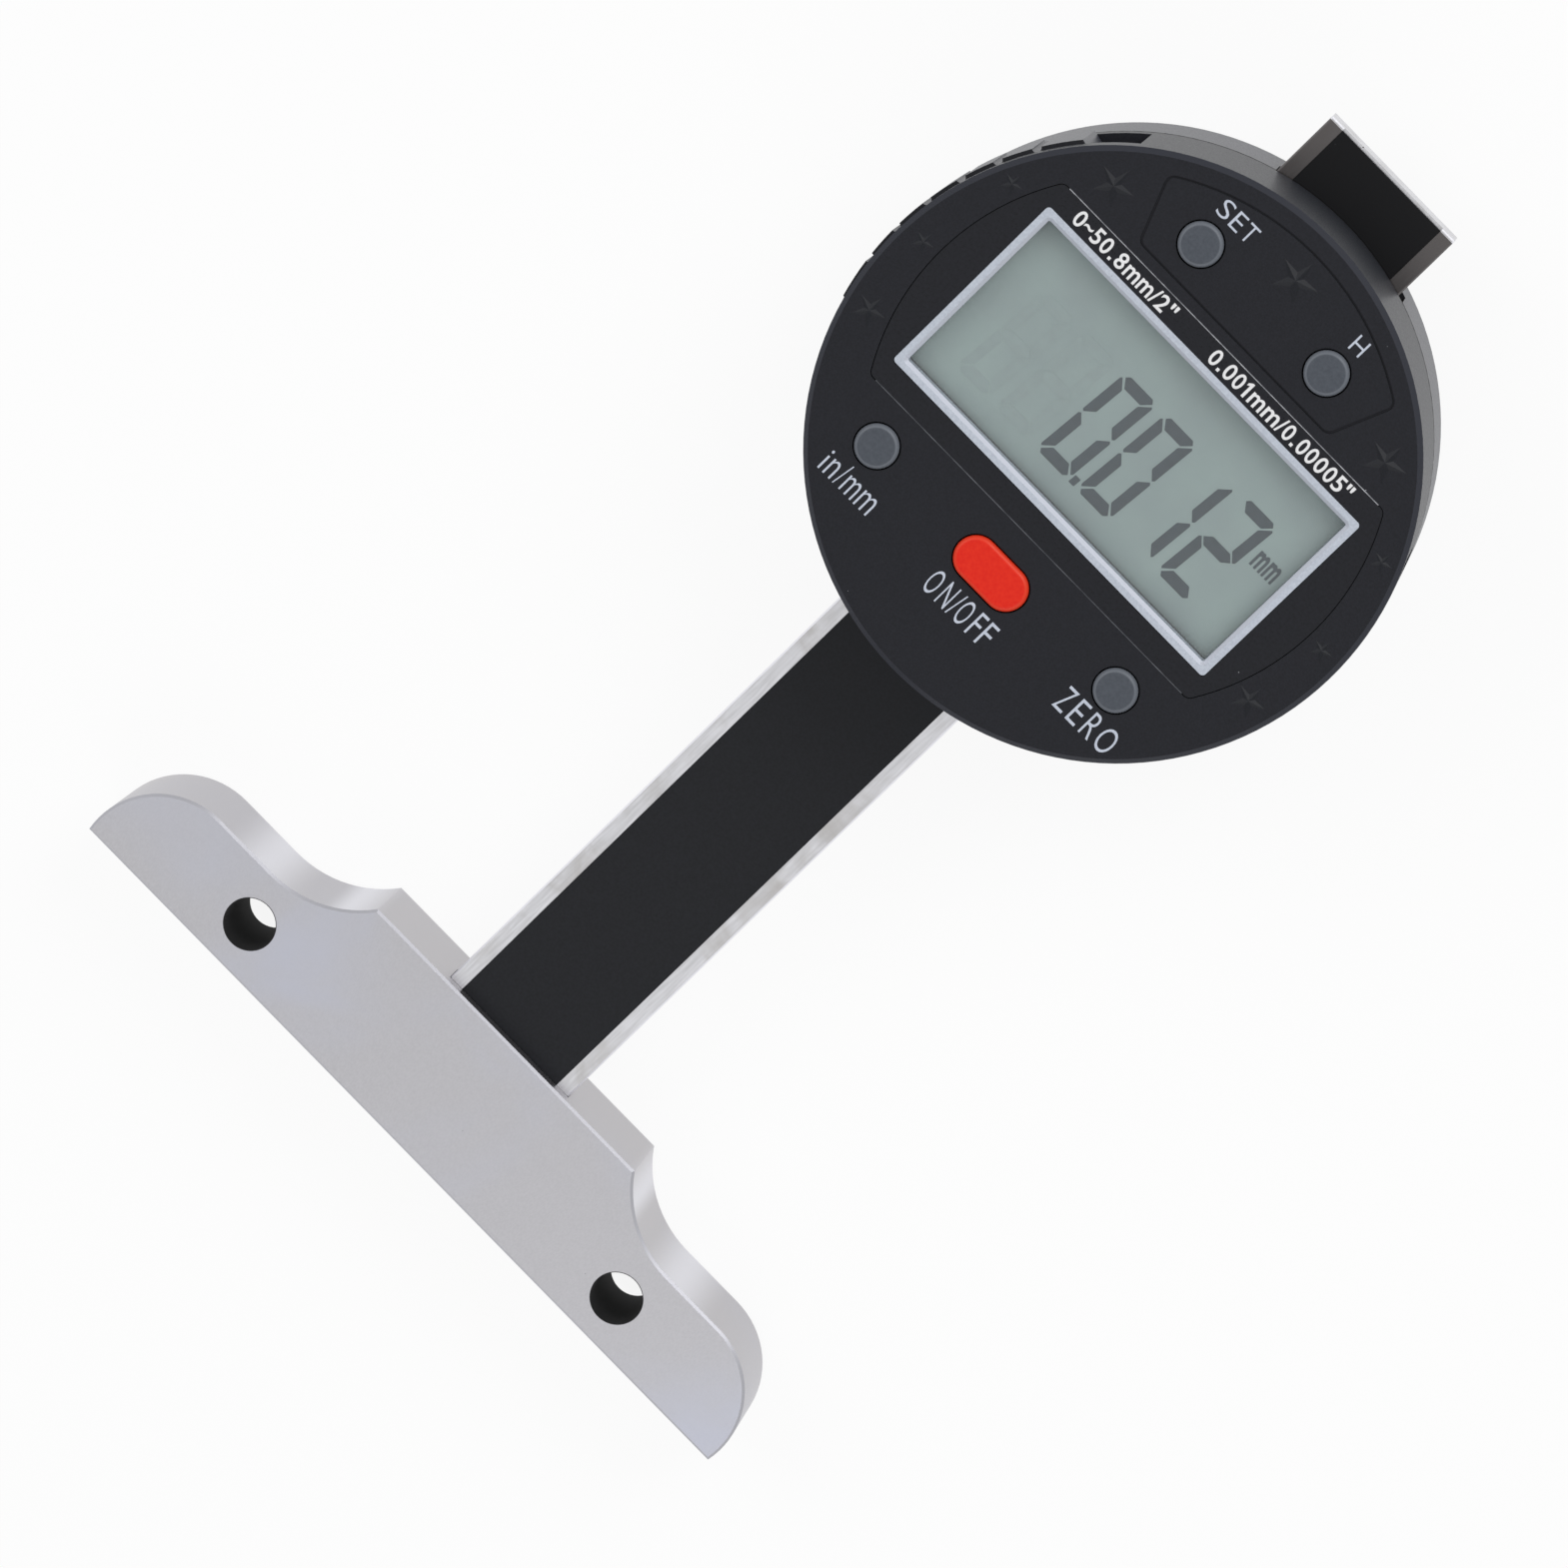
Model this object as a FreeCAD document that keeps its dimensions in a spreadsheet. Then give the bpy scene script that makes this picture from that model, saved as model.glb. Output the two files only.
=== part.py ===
import FreeCAD, Part
import math
import os
import Sketcher
from FreeCAD import Placement, Rotation, Vector

# Digital depth gauge, millimetres. X runs across, +Y up the beam from the measuring face towards
# the head, +Z out of the display. The origin is the centre of the measuring face, and the gauge
# lies on its flat back.

sizes = {
    # Base: a bar with rounded ends, a raised middle and two holes for an extension
    "base_length": 84.5,
    "base_thickness": 11.0,
    "base_shoulder_height": 9.95,
    "base_top_height": 14.95,
    "base_arm_length": 24.8,
    "base_end_radius": 8.5,
    "base_neck_radius": 11.6,
    "base_edge_break": 0.25,
    "base_front_wall": 1.6,
    "extension_hole_radius": 2.55,
    "extension_hole_height": 4.85,
    "extension_hole_spacing": 50.0,
    # Beam with its inlaid scale strip and the rod groove in its back
    "beam_width": 16.0,
    "beam_thickness": 3.5,
    "beam_seat_height": 5.5,
    "beam_overhang": 5.95,
    "beam_edge_break": 0.15,
    "beam_slot_gap": 0.05,
    "strip_margin": 1.6,
    "strip_depth": 0.4,
    "strip_sink": 0.05,
    "strip_gap": 0.02,
    "strip_end_gap": 0.3,
    "rod_side_gap": 0.7,
    "rod_groove_gap": 0.28,
    "groove_end_wall": 5.0,
    # Screws through the back of the base into the beam, and the stop at the beam's far end
    "base_screw_spacing": 10.0,
    "base_screw_radius": 1.25,
    "base_screw_head_radius": 2.3,
    "base_screw_head_depth": 1.3,
    "stop_screw_offset": 4.6,
    "stop_screw_end_distance": 2.6,
    "stop_screw_radius": 0.8,
    "stop_screw_head_radius": 1.5,
    "stop_screw_head_height": 1.0,
    "stop_screw_depth": 2.4,
    # Fits and details that all screws share
    "thread_gap": 0.03,
    "screw_end_gap": 0.2,
    "screw_chamfer": 0.3,
    "cross_reach_ratio": 0.62,
    "cross_half_width": 0.25,
    "cross_depth": 0.6,
    "small_cross_half_width": 0.2,
    "small_cross_depth": 0.4,
    "grub_slot_half_width": 0.2,
    "grub_slot_depth": 0.5,
    # Depth rod, its guide bush and its carrier in the head
    "rod_radius": 1.0,
    "rod_tip_chamfer": 0.2,
    "rod_running_gap": 0.04,
    "rod_sink": 0.12,
    "rod_face_hole_gap": 0.15,
    "bush_radius": 1.9,
    "bush_length": 3.4,
    "carrier_offset": 19.5,
    "carrier_length": 8.0,
    "carrier_width": 11.0,
    "carrier_floor_wall": 2.55,
    "carrier_tongue_gap": 0.2,
    "carrier_back_gap": 0.15,
    "carrier_pocket_gap": 0.05,
    "carrier_screw_margin": 2.0,
    "carrier_screw_radius": 1.0,
    "carrier_screw_head_radius": 1.9,
    "carrier_screw_head_depth": 1.1,
    # Head housings
    "head_travel": 50.8,
    "head_stop_gap": 4.2,
    "head_rim": 4.1,
    "head_wall": 1.8,
    "front_edge_chamfer": 0.5,
    "seam_gap": 0.2,
    "face_plate": 2.4,
    "guide_gap": 0.1,
    "rear_floor": 2.0,
    "rear_edge_fillet": 0.4,
    "rail_width": 2.2,
    # Screws that close the housings
    "upper_screw_key_x": 5.4,
    "upper_screw_rise": 4.14,
    "lower_screw_key_x": 3.35,
    "lower_screw_key_y": 4.5,
    "boss_radius": 2.3,
    "boss_shoulder": 0.5,
    "housing_screw_radius": 1.1,
    "housing_screw_head_radius": 2.1,
    "housing_screw_head_depth": 1.7,
    "housing_screw_length": 15.5,
    # Gib leaf that takes up the side play of the beam
    "gib_thickness": 0.5,
    "gib_length": 52.0,
    "gib_height": 2.9,
    "gib_screw_radius": 1.0,
    "gib_screw_spacing": 22.0,
    # Window, its silver frame and the display
    "lens_margin": 2.48,
    "lens_end_margin": 4.0,
    "lens_corner": 0.85,
    "lens_thickness": 1.0,
    "lens_sink": 0.08,
    "lens_gap": 0.08,
    "display_offset": 1.96,
    "frame_width": 40.3,
    "frame_height": 20.1,
    "frame_band": 0.95,
    "frame_thickness": 1.5,
    "frame_corner": 0.4,
    "frame_gap": 0.06,
    "frame_sink": 0.12,
    "frame_bevel": 0.35,
    "pane_gap": 0.02,
    "pane_thickness": 0.7,
    "display_side_overlap": 1.15,
    "display_edge_overlap": 0.65,
    "display_thickness": 2.2,
    "stack_gap": 0.05,
    "zebra_end_inset": 2.8,
    "zebra_height": 1.7,
    "zebra_depth": 1.8,
    "zebra_inset": 1.2,
    # Key field above the window, outlined by a groove
    "field_margin": 1.01,
    "field_half_width": 12.2,
    "field_rim": 2.0,
    "field_angle": 34.05,
    "field_corner": 1.0,
    "field_groove": 0.22,
    "field_groove_depth": 0.2,
    # Keys
    "key_radius": 2.1,
    "key_gap": 0.15,
    "key_rise": 0.45,
    "key_edge": 0.5,
    "key_travel": 0.5,
    "key_flange": 0.6,
    "key_flange_thickness": 0.8,
    "key_stem_radius": 1.2,
    "key_rest_gap": 0.15,
    "upper_key_inset": 12.05,
    "upper_key_rise": 4.94,
    "lower_key_inset": 4.6,
    "lower_key_drop": 4.13,
    "power_key_drop": 4.81,
    "power_key_length": 8.1,
    "power_key_radius": 2.15,
    # Boards
    "board_gap": 2.55,
    "contact_height": 0.6,
    "board_thickness": 1.2,
    "keypad_thickness": 0.5,
    "keypad_inset": 0.8,
    "board_hole_gap": 0.2,
    "sensor_width": 20.4,
    "sensor_gap": 0.3,
    "sensor_thickness": 0.8,
    "sensor_corner": 1.5,
    "plug_x": 7.6,
    "plug_width": 2.5,
    "plug_length": 12.0,
    # Battery drawer in the left flank of the head, seen from the front
    "drawer_angle": 11.5,
    "drawer_face_side": 2.35,
    "drawer_rise": 0.35,
    "drawer_face_margin": 0.7,
    "drawer_face_level": 2.05,
    "drawer_gap": 0.12,
    "drawer_face_thickness": 1.0,
    "tray_side_wall": 0.8,
    "tray_level": 2.45,
    "tray_floor": 0.8,
    "tray_wall_height": 3.4,
    "tray_end_wall": 1.0,
    "tray_window": 7.0,
    "guide_length": 4.0,
    "guide_width": 1.0,
    "grip_groove_width": 0.9,
    "grip_groove_depth": 0.45,
    "grip_groove_pitch": 3.7,
    "grip_groove_count": 6,
    "cell_radius": 10.0,
    "cell_thickness": 3.2,
    "cell_step": 0.5,
    "cell_face_gap": 3.55,
    "cell_gap": 0.1,
    "contact_thickness": 0.2,
    "contact_width": 3.0,
    "contact_length": 8.0,
    "contact_ramp": 2.0,
    "contact_foot": 1.0,
    # Finger recesses beside the drawer and the port cover
    "recess_depth": 3.0,
    "recess_back_wall": 1.1,
    "recess_slant_angle": 2.5,
    "recess_side_angle": 2.5,
    "drawer_recess_end_angle": 42.5,
    "drawer_recess_start_angle": 52.0,
    "port_recess_end_angle": 64.0,
    "port_cover_start_angle": 81.0,
    "port_cover_end_angle": 111.0,
    "port_recess_depth": 2.2,
    "port_cover_lip": 1.2,
    "port_cover_plug": 4.2,
    "port_plug_width": 10.6,
    "port_plug_height": 4.0,
    "port_plug_level": 4.8,
    # How far a cut starts outside the material
    "overrun": 1.0,
}

doc = FreeCAD.newDocument("DepthGauge")
sheet = doc.addObject("Spreadsheet::Sheet", "Sizes")
for row, (alias, number) in enumerate(sizes.items(), start=1):
    sheet.set(f"A{row}", alias)
    sheet.set(f"B{row}", str(number))
    sheet.setAlias(f"B{row}", alias)
doc.recompute()


class Length:
    """A size with the expression that gives it and its present value."""

    def __init__(self, text, value):
        self.text = text
        self.value = float(value)

    def join(self, sign, other, value):
        return Length(f"({self.text} {sign} {other.text})", value)

    def __add__(self, other):
        other = length(other)
        return self.join("+", other, self.value + other.value)

    def __sub__(self, other):
        other = length(other)
        return self.join("-", other, self.value - other.value)

    def __mul__(self, other):
        other = length(other)
        return self.join("*", other, self.value * other.value)

    def __truediv__(self, other):
        other = length(other)
        return self.join("/", other, self.value / other.value)

    def __neg__(self):
        return length(0) - self


def length(thing):
    return thing if isinstance(thing, Length) else Length(str(float(thing)), thing)


def size(alias):
    return Length(f"Sizes.{alias}", sheet.get(alias))


def root(a):
    return Length(f"sqrt({a.text})", math.sqrt(a.value))


def sine(a):
    return Length(f"sin({a.text} * 1 deg)", math.sin(math.radians(a.value)))


def cosine(a):
    return Length(f"cos({a.text} * 1 deg)", math.cos(math.radians(a.value)))


zero = length(0)
overrun = size("overrun")


# Bodies, sketches and features

def make_body(label, x=None, y=None, turn=None):
    body = doc.addObject("PartDesign::Body", "Body_" + label)
    body.Label = label
    spin = Rotation(Vector(0, 0, 1), turn.value if turn else 0)
    body.Placement = Placement(Vector(x.value if x else 0, y.value if y else 0, 0), spin)
    for target, formula in (("Base.x", x), ("Base.y", y), ("Rotation.Angle", turn)):
        if formula:
            body.setExpression("Placement." + target, formula.text)
    return body


def head_body(label, x=None, y=None, turn=None):
    """A body whose own origin is the head's centre, or a place given from there."""
    return make_body(label, x, head_centre + y if y else head_centre, turn)


def sketch_on(body, role, offset=zero, turn=None):
    plane = next(f for f in body.Origin.OriginFeatures if f.Role == role)
    sk = body.newObject("Sketcher::SketchObject", "Sketch")
    sk.AttachmentSupport = [(plane, "")]
    sk.MapMode = "FlatFace"
    spin = Rotation(Vector(0, 0, 1), turn.value if turn is not None else 0)
    sk.AttachmentOffset = Placement(Vector(0, 0, offset.value), spin)
    sk.setExpression("AttachmentOffset.Base.z", offset.text)
    if turn is not None:
        sk.setExpression("AttachmentOffset.Rotation.Angle", turn.text)
    return sk


def bind(sk, constraint, formula):
    index = sk.addConstraint(constraint)
    sk.setExpression(f"Constraints[{index}]", formula.text)


def pin(sk, geometry, point, x, y):
    bind(sk, Sketcher.Constraint("DistanceX", -1, 1, geometry, point, x.value), x)
    bind(sk, Sketcher.Constraint("DistanceY", -1, 1, geometry, point, y.value), y)


def add_circle(sk, x, y, radius):
    shape = Part.Circle(Vector(x.value, y.value, 0), Vector(0, 0, 1), radius.value)
    geometry = sk.addGeometry(shape, False)
    pin(sk, geometry, 3, x, y)
    bind(sk, Sketcher.Constraint("Radius", geometry, radius.value), radius)


def add_outline(sk, corners):
    """Close an outline. A corner is (x, y) or (x, y, radius, bulge): the edge that leaves such a
    corner is an arc, which bulges to the right of its travel where bulge is 1 and to the left
    where it is -1."""
    edges = []
    for i, corner in enumerate(corners):
        after = corners[(i + 1) % len(corners)]
        start = Vector(corner[0].value, corner[1].value, 0)
        end = Vector(after[0].value, after[1].value, 0)
        if len(corner) == 2:
            edges.append(sk.addGeometry(Part.LineSegment(start, end), False))
            continue
        radius, bulge = corner[2], corner[3]
        chord = end - start
        side = Vector(chord.y, -chord.x, 0).normalize() * bulge
        depth = radius.value - math.sqrt(max(radius.value ** 2 - chord.Length ** 2 / 4, 0))
        middle = (start + end) / 2 + side * depth
        edges.append(sk.addGeometry(Part.Arc(start, middle, end), False))
        bind(sk, Sketcher.Constraint("Radius", edges[-1], radius.value), radius)
    # An arc that bulges to the left is stored the other way round, so its first point is its end
    firsts = [2 if len(corner) == 4 and corner[3] == -1 else 1 for corner in corners]
    lasts = [1 if first == 2 else 2 for first in firsts]
    for i, corner in enumerate(corners):
        after = (i + 1) % len(corners)
        sk.addConstraint(Sketcher.Constraint("Coincident", edges[i], lasts[i], edges[after], firsts[after]))
        pin(sk, edges[i], firsts[i], corner[0], corner[1])


def add_box(sk, x0, x1, y0, y1):
    add_outline(sk, [(x0, y0), (x1, y0), (x1, y1), (x0, y1)])


def add_rounded_box(sk, half_width, low, high, radius):
    left, right = -half_width, half_width
    add_outline(sk, [
        (left + radius, low),
        (right - radius, low, radius, 1),
        (right, low + radius),
        (right, high - radius, radius, 1),
        (right - radius, high),
        (left + radius, high, radius, 1),
        (left, high - radius),
        (left, low + radius, radius, 1),
    ])


def polar(radius, angle):
    """A point at an angle that is measured clockwise from +Y."""
    return radius * sine(angle), radius * cosine(angle)


def arc_degrees(arc, radius):
    return arc / radius * math.degrees(1)


def corner_cut(radius, lean):
    """How far a fillet reaches along both edges of a corner that opens 90 degrees and a lean, whose
    sine is given."""
    return radius * root((length(1) - lean) / (length(1) + lean))


def in_order(a, b):
    return (a, b) if a.value < b.value else (b, a)


def pad(body, sk, depth, reverse=False):
    feature = body.newObject("PartDesign::Pad", "Pad")
    feature.Profile = sk
    feature.Length = depth.value
    feature.setExpression("Length", depth.text)
    feature.Reversed = reverse
    sk.Visibility = False
    doc.recompute()


def pocket(body, sk, depth, reverse=False):
    """Cut against the sketch's normal, or along it where reverse is set."""
    before = body.Shape.Volume
    feature = body.newObject("PartDesign::Pocket", "Pocket")
    feature.Profile = sk
    feature.Length = depth.value
    feature.setExpression("Length", depth.text)
    feature.Reversed = reverse
    sk.Visibility = False
    doc.recompute()
    if not body.Shape.Volume < before:
        raise ValueError(f"{body.Label}: a pocket removes nothing")


def revolve(body, sk):
    feature = body.newObject("PartDesign::Revolution", "Turned")
    feature.Profile = sk
    feature.ReferenceAxis = (sk, ["V_Axis"])
    feature.Angle = 360
    sk.Visibility = False
    doc.recompute()


def edge_names(shape, test):
    return [f"Edge{i}" for i, edge in enumerate(shape.Edges, start=1) if test(edge)]


def dress(body, kind, edges, amount):
    """Fillet or chamfer the edges of the body's last feature."""
    before = body.Tip
    feature = body.newObject("PartDesign::" + kind, kind)
    feature.Base = (before, edges)
    target = "Radius" if kind == "Fillet" else "Size"
    setattr(feature, target, amount.value)
    feature.setExpression(target, amount.text)
    doc.recompute()


def near(a, b):
    return abs(a - b) < 1e-4


def level_edges(shape, height):
    def lies_level(edge):
        box = edge.BoundBox
        return near(box.ZMin, height) and near(box.ZMax, height)
    return edge_names(shape, lies_level)


def plate(body, sketcher, low, high):
    """A flat piece: an outline padded from one level to another."""
    sk = sketch_on(body, "XY_Plane", low)
    sketcher(sk)
    pad(body, sk, high - low)


# Levels that the pieces share, from the back to the face

half_base = size("base_thickness") / 2
beam_front = half_base - size("base_front_wall")
beam_back = beam_front - size("beam_thickness")
head_back = -half_base
carrier_floor = head_back + size("carrier_floor_wall")
carrier_top = beam_back - size("carrier_back_gap")
gib_level = (beam_front + beam_back) / 2
strip_floor = beam_front - size("strip_depth")
rod_axis = beam_back + size("rod_radius") + size("rod_sink")
groove_floor = rod_axis + size("rod_radius") + size("rod_groove_gap")
seam = beam_front + size("guide_gap")
tray_low = seam + size("tray_level")
tray_high = tray_low + size("tray_wall_height")
cell_low = tray_low + size("tray_floor") + size("cell_gap") / 2
cell_high = cell_low + size("cell_thickness")
board_back = cell_high + size("contact_height")
board_top = board_back + size("board_thickness")
display_back = board_top + size("zebra_height")
display_top = display_back + size("display_thickness")
plate_back = display_top + size("stack_gap")
face = plate_back + size("face_plate")
port_low = seam + size("port_plug_level")
port_high = port_low + size("port_plug_height")
drawer_low = seam + size("drawer_face_level")
drawer_high = plate_back - size("drawer_face_margin")

# Places across the gauge; those on the head are taken from its centre

half_beam = size("beam_width") / 2
half_strip = half_beam - size("strip_margin")
half_groove = size("rod_radius") + size("rod_side_gap")
carrier_screw_x = size("carrier_width") / 2 - size("carrier_screw_margin")
left_rail = half_beam + size("guide_gap")
right_rail = half_beam + size("guide_gap") + size("gib_thickness") + size("guide_gap")
display_y = size("display_offset")
half_frame_width = size("frame_width") / 2
half_frame_height = size("frame_height") / 2
half_display_width = half_frame_width + size("display_side_overlap")
half_display_height = half_frame_height + size("display_edge_overlap")
half_lens = half_frame_height + size("lens_margin")
lens_radius = half_frame_width + size("lens_end_margin")
lens_top = display_y + half_lens
lens_bottom = display_y - half_lens
head_radius = lens_radius + size("head_rim")
inner_radius = head_radius - size("head_wall")
board_radius = inner_radius - size("board_gap")
field_radius = head_radius - size("field_rim")
upper_key_x = half_frame_width - size("upper_key_inset")
lower_key_x = half_frame_width - size("lower_key_inset")
power_key_y = lens_bottom - size("power_key_drop")
half_tray = size("cell_radius") + size("cell_gap") + size("tray_side_wall")
half_drawer = half_tray + size("drawer_face_side")
cell_offset = head_radius - size("drawer_face_thickness") - size("cell_face_gap") - size("cell_radius")
tray_end = cell_offset - size("cell_radius") - size("tray_end_wall")
drawer_turn = -size("drawer_angle")
quarter_turn = length(90)
port_turn = quarter_turn - (size("port_cover_start_angle") + size("port_cover_end_angle")) / 2

round_keys = {
    "set_key": (-upper_key_x, lens_top + size("upper_key_rise")),
    "hold_key": (upper_key_x, lens_top + size("upper_key_rise")),
    "unit_key": (-lower_key_x, lens_bottom - size("lower_key_drop")),
    "zero_key": (lower_key_x, lens_bottom - size("lower_key_drop")),
}
upper_screw_x = upper_key_x + size("upper_screw_key_x")
upper_screw_y = display_y + half_display_height + size("upper_screw_rise")
lower_screw_x = lower_key_x - size("lower_screw_key_x")
lower_screw_y = lens_bottom - size("lower_key_drop") - size("lower_screw_key_y")
screw_places = [
    (-upper_screw_x, upper_screw_y), (upper_screw_x, upper_screw_y),
    (-lower_screw_x, lower_screw_y), (lower_screw_x, lower_screw_y),
]

# Places up the beam, from the measuring face

base_screw_height = (size("beam_seat_height") + size("base_top_height")) / 2
head_centre = size("base_top_height") + size("head_stop_gap") + size("head_travel") + head_radius
beam_end = head_centre + head_radius + size("beam_overhang")
stop_y = beam_end - size("stop_screw_end_distance")


# Base

def base_outline(sk):
    half = size("base_length") / 2
    shoulder = size("base_shoulder_height")
    top = size("base_top_height")
    end_radius = size("base_end_radius")
    neck_radius = size("base_neck_radius")
    end_centre_y = shoulder - end_radius
    end_x = half - root(end_radius * end_radius - end_centre_y * end_centre_y)
    half_top = half - size("base_arm_length")
    drop = neck_radius - (top - shoulder)
    neck_x = half_top + root(neck_radius * neck_radius - drop * drop)
    add_outline(sk, [
        (-half, zero),
        (half, zero, end_radius, 1),
        (end_x, shoulder),
        (neck_x, shoulder, neck_radius, -1),
        (half_top, top),
        (-half_top, top, neck_radius, -1),
        (-neck_x, shoulder),
        (-end_x, shoulder, end_radius, 1),
    ])


def countersunk(body, x, y, sink_radius, sink_depth, hole_radius, back, front):
    """A countersunk hole that is drilled from the back plane towards +Z."""
    sk = sketch_on(body, "XY_Plane", front)
    add_circle(sk, x, y, hole_radius)
    pocket(body, sk, front - back)
    cone = body.newObject("PartDesign::SubtractiveCone", "Countersink")
    cone.Radius1 = sink_radius.value
    cone.setExpression("Radius1", sink_radius.text)
    cone.Radius2 = hole_radius.value
    cone.setExpression("Radius2", hole_radius.text)
    cone.Height = sink_depth.value
    cone.setExpression("Height", sink_depth.text)
    cone.AttachmentSupport = [(next(f for f in body.Origin.OriginFeatures if f.Role == "XY_Plane"), "")]
    cone.MapMode = "FlatFace"
    cone.AttachmentOffset = Placement(Vector(x.value, y.value, back.value), Rotation())
    cone.setExpression("AttachmentOffset.Base.x", x.text)
    cone.setExpression("AttachmentOffset.Base.y", y.text)
    cone.setExpression("AttachmentOffset.Base.z", back.text)
    doc.recompute()


def make_base():
    body = make_body("base")
    sk = sketch_on(body, "XY_Plane", -half_base)
    base_outline(sk)
    pad(body, sk, size("base_thickness"))
    outer = level_edges(body.Shape, half_base.value) + level_edges(body.Shape, -half_base.value)
    dress(body, "Chamfer", outer, size("base_edge_break"))
    for side in (-1, 1):
        sk = sketch_on(body, "XY_Plane", half_base)
        x = size("extension_hole_spacing") / 2 * side
        add_circle(sk, x, size("extension_hole_height"), size("extension_hole_radius"))
        pocket(body, sk, size("base_thickness"))
    # The slot that takes the beam's lower end, open at the top
    gap = size("beam_slot_gap")
    sk = sketch_on(body, "XY_Plane", beam_front + gap)
    half = half_beam + gap
    add_box(sk, -half, half, size("beam_seat_height"), size("base_top_height") + overrun)
    pocket(body, sk, size("beam_thickness") + gap * 2)
    # The rod's hole in the measuring face and the wider seat of its bush
    sk = sketch_on(body, "XZ_Plane")
    add_circle(sk, zero, rod_axis, size("rod_radius") + size("rod_face_hole_gap"))
    pocket(body, sk, size("beam_seat_height"))
    sk = sketch_on(body, "XZ_Plane", -size("beam_seat_height"))
    add_circle(sk, zero, rod_axis, size("bush_radius"))
    pocket(body, sk, size("bush_length"), reverse=True)
    for side in (-1, 1):
        countersunk(body, size("base_screw_spacing") / 2 * side, base_screw_height,
                    size("base_screw_head_radius"), size("base_screw_head_depth"),
                    size("base_screw_radius") + size("thread_gap"), -half_base, beam_back)


def make_beam():
    body = make_body("beam")
    sk = sketch_on(body, "XY_Plane", beam_back)
    add_box(sk, -half_beam, half_beam, size("beam_seat_height"), beam_end)
    pad(body, sk, size("beam_thickness"))

    def outer(edge):
        box = edge.BoundBox
        long_side = box.YLength > beam_end.value / 2 and near(abs(box.XMin), half_beam.value)
        far_end = box.XLength > half_beam.value and near(box.YMin, beam_end.value)
        return long_side or far_end
    dress(body, "Chamfer", edge_names(body.Shape, outer), size("beam_edge_break"))
    sk = sketch_on(body, "XY_Plane", beam_front)
    half = half_strip + size("strip_gap")
    low, high = size("beam_seat_height") - overrun, beam_end + overrun
    add_box(sk, -half, half, low, high)
    pocket(body, sk, size("strip_depth"))
    sk = sketch_on(body, "XY_Plane", groove_floor)
    add_box(sk, -half_groove, half_groove, low, beam_end - size("groove_end_wall"))
    pocket(body, sk, groove_floor - beam_back + overrun)
    sk = sketch_on(body, "XY_Plane", strip_floor)
    for side in (-1, 1):
        add_circle(sk, size("base_screw_spacing") / 2 * side, base_screw_height,
                   size("base_screw_radius") + size("thread_gap"))
    add_circle(sk, size("stop_screw_offset"), stop_y, size("stop_screw_radius") + size("thread_gap"))
    pocket(body, sk, size("beam_thickness"))


def make_strip():
    def outline(sk):
        add_box(sk, -half_strip, half_strip, size("beam_seat_height"), beam_end - size("strip_end_gap"))
    plate(make_body("scale_strip"), outline, strip_floor, beam_front - size("strip_sink"))


def turned_piece(body, profile):
    """A piece turned about its body's Z axis from (radius, level) corners."""
    sk = sketch_on(body, "XZ_Plane")
    add_outline(sk, profile)
    revolve(body, sk)


def screw_profile(radius, sink_radius, head_depth, back, tip):
    """Half section of a countersunk screw whose head lies flush in the back plane."""
    chamfer = size("screw_chamfer")
    return [
        (zero, back),
        (sink_radius - size("thread_gap"), back),
        (radius, back + head_depth),
        (radius, tip - chamfer),
        (radius - chamfer, tip),
        (zero, tip),
    ]


def repeat(label, form, places, centre=zero):
    """Like pieces as separate solids of one node, each a copy of one form."""
    copies = []
    for x, y in places:
        copy = doc.addObject("App::Link", "Copy_" + label)
        copy.LinkedObject = form
        copy.LinkPlacement = Placement(Vector(x.value, (centre + y).value, 0), Rotation())
        copy.setExpression("LinkPlacement.Base.x", x.text)
        copy.setExpression("LinkPlacement.Base.y", (centre + y).text)
        copies.append(copy)
    group = doc.addObject("Part::Compound", "Group_" + label)
    group.Label = label
    group.Links = copies
    doc.recompute()


def screw_group(label, profile, places, centre=zero, cross="cross"):
    """Turned screws with a cross recess in each head."""
    form = make_body(label + "_form")
    sk = sketch_on(form, "XZ_Plane")
    add_outline(sk, profile)
    revolve(form, sk)
    head, back = profile[1][0], profile[0][1]
    depth = size(cross + "_depth")
    arm = size(cross + "_half_width")
    reach = head * size("cross_reach_ratio")
    sk = sketch_on(form, "XY_Plane", back + depth)
    add_outline(sk, [
        (-reach, -arm), (-arm, -arm), (-arm, -reach), (arm, -reach), (arm, -arm), (reach, -arm),
        (reach, arm), (arm, arm), (arm, reach), (-arm, reach), (-arm, arm), (-reach, arm),
    ])
    pocket(form, sk, depth + overrun)
    repeat(label, form, places, centre)


def make_base_screws():
    profile = screw_profile(size("base_screw_radius"), size("base_screw_head_radius"),
                            size("base_screw_head_depth"), -half_base,
                            strip_floor - size("screw_end_gap"))
    half = size("base_screw_spacing") / 2
    screw_group("base_screws", profile, [(-half, base_screw_height), (half, base_screw_height)])


def make_stop_screw():
    top = beam_back + size("stop_screw_depth")
    head, chamfer = size("stop_screw_head_radius"), size("screw_chamfer")
    low = beam_back - size("stop_screw_head_height")
    profile = [
        (zero, low), (head - chamfer, low), (head, low + chamfer), (head, beam_back),
        (size("stop_screw_radius"), beam_back), (size("stop_screw_radius"), top), (zero, top),
    ]
    screw_group("stop_screw", profile, [(size("stop_screw_offset"), stop_y)], cross="small_cross")


# Depth rod and what carries it

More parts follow.
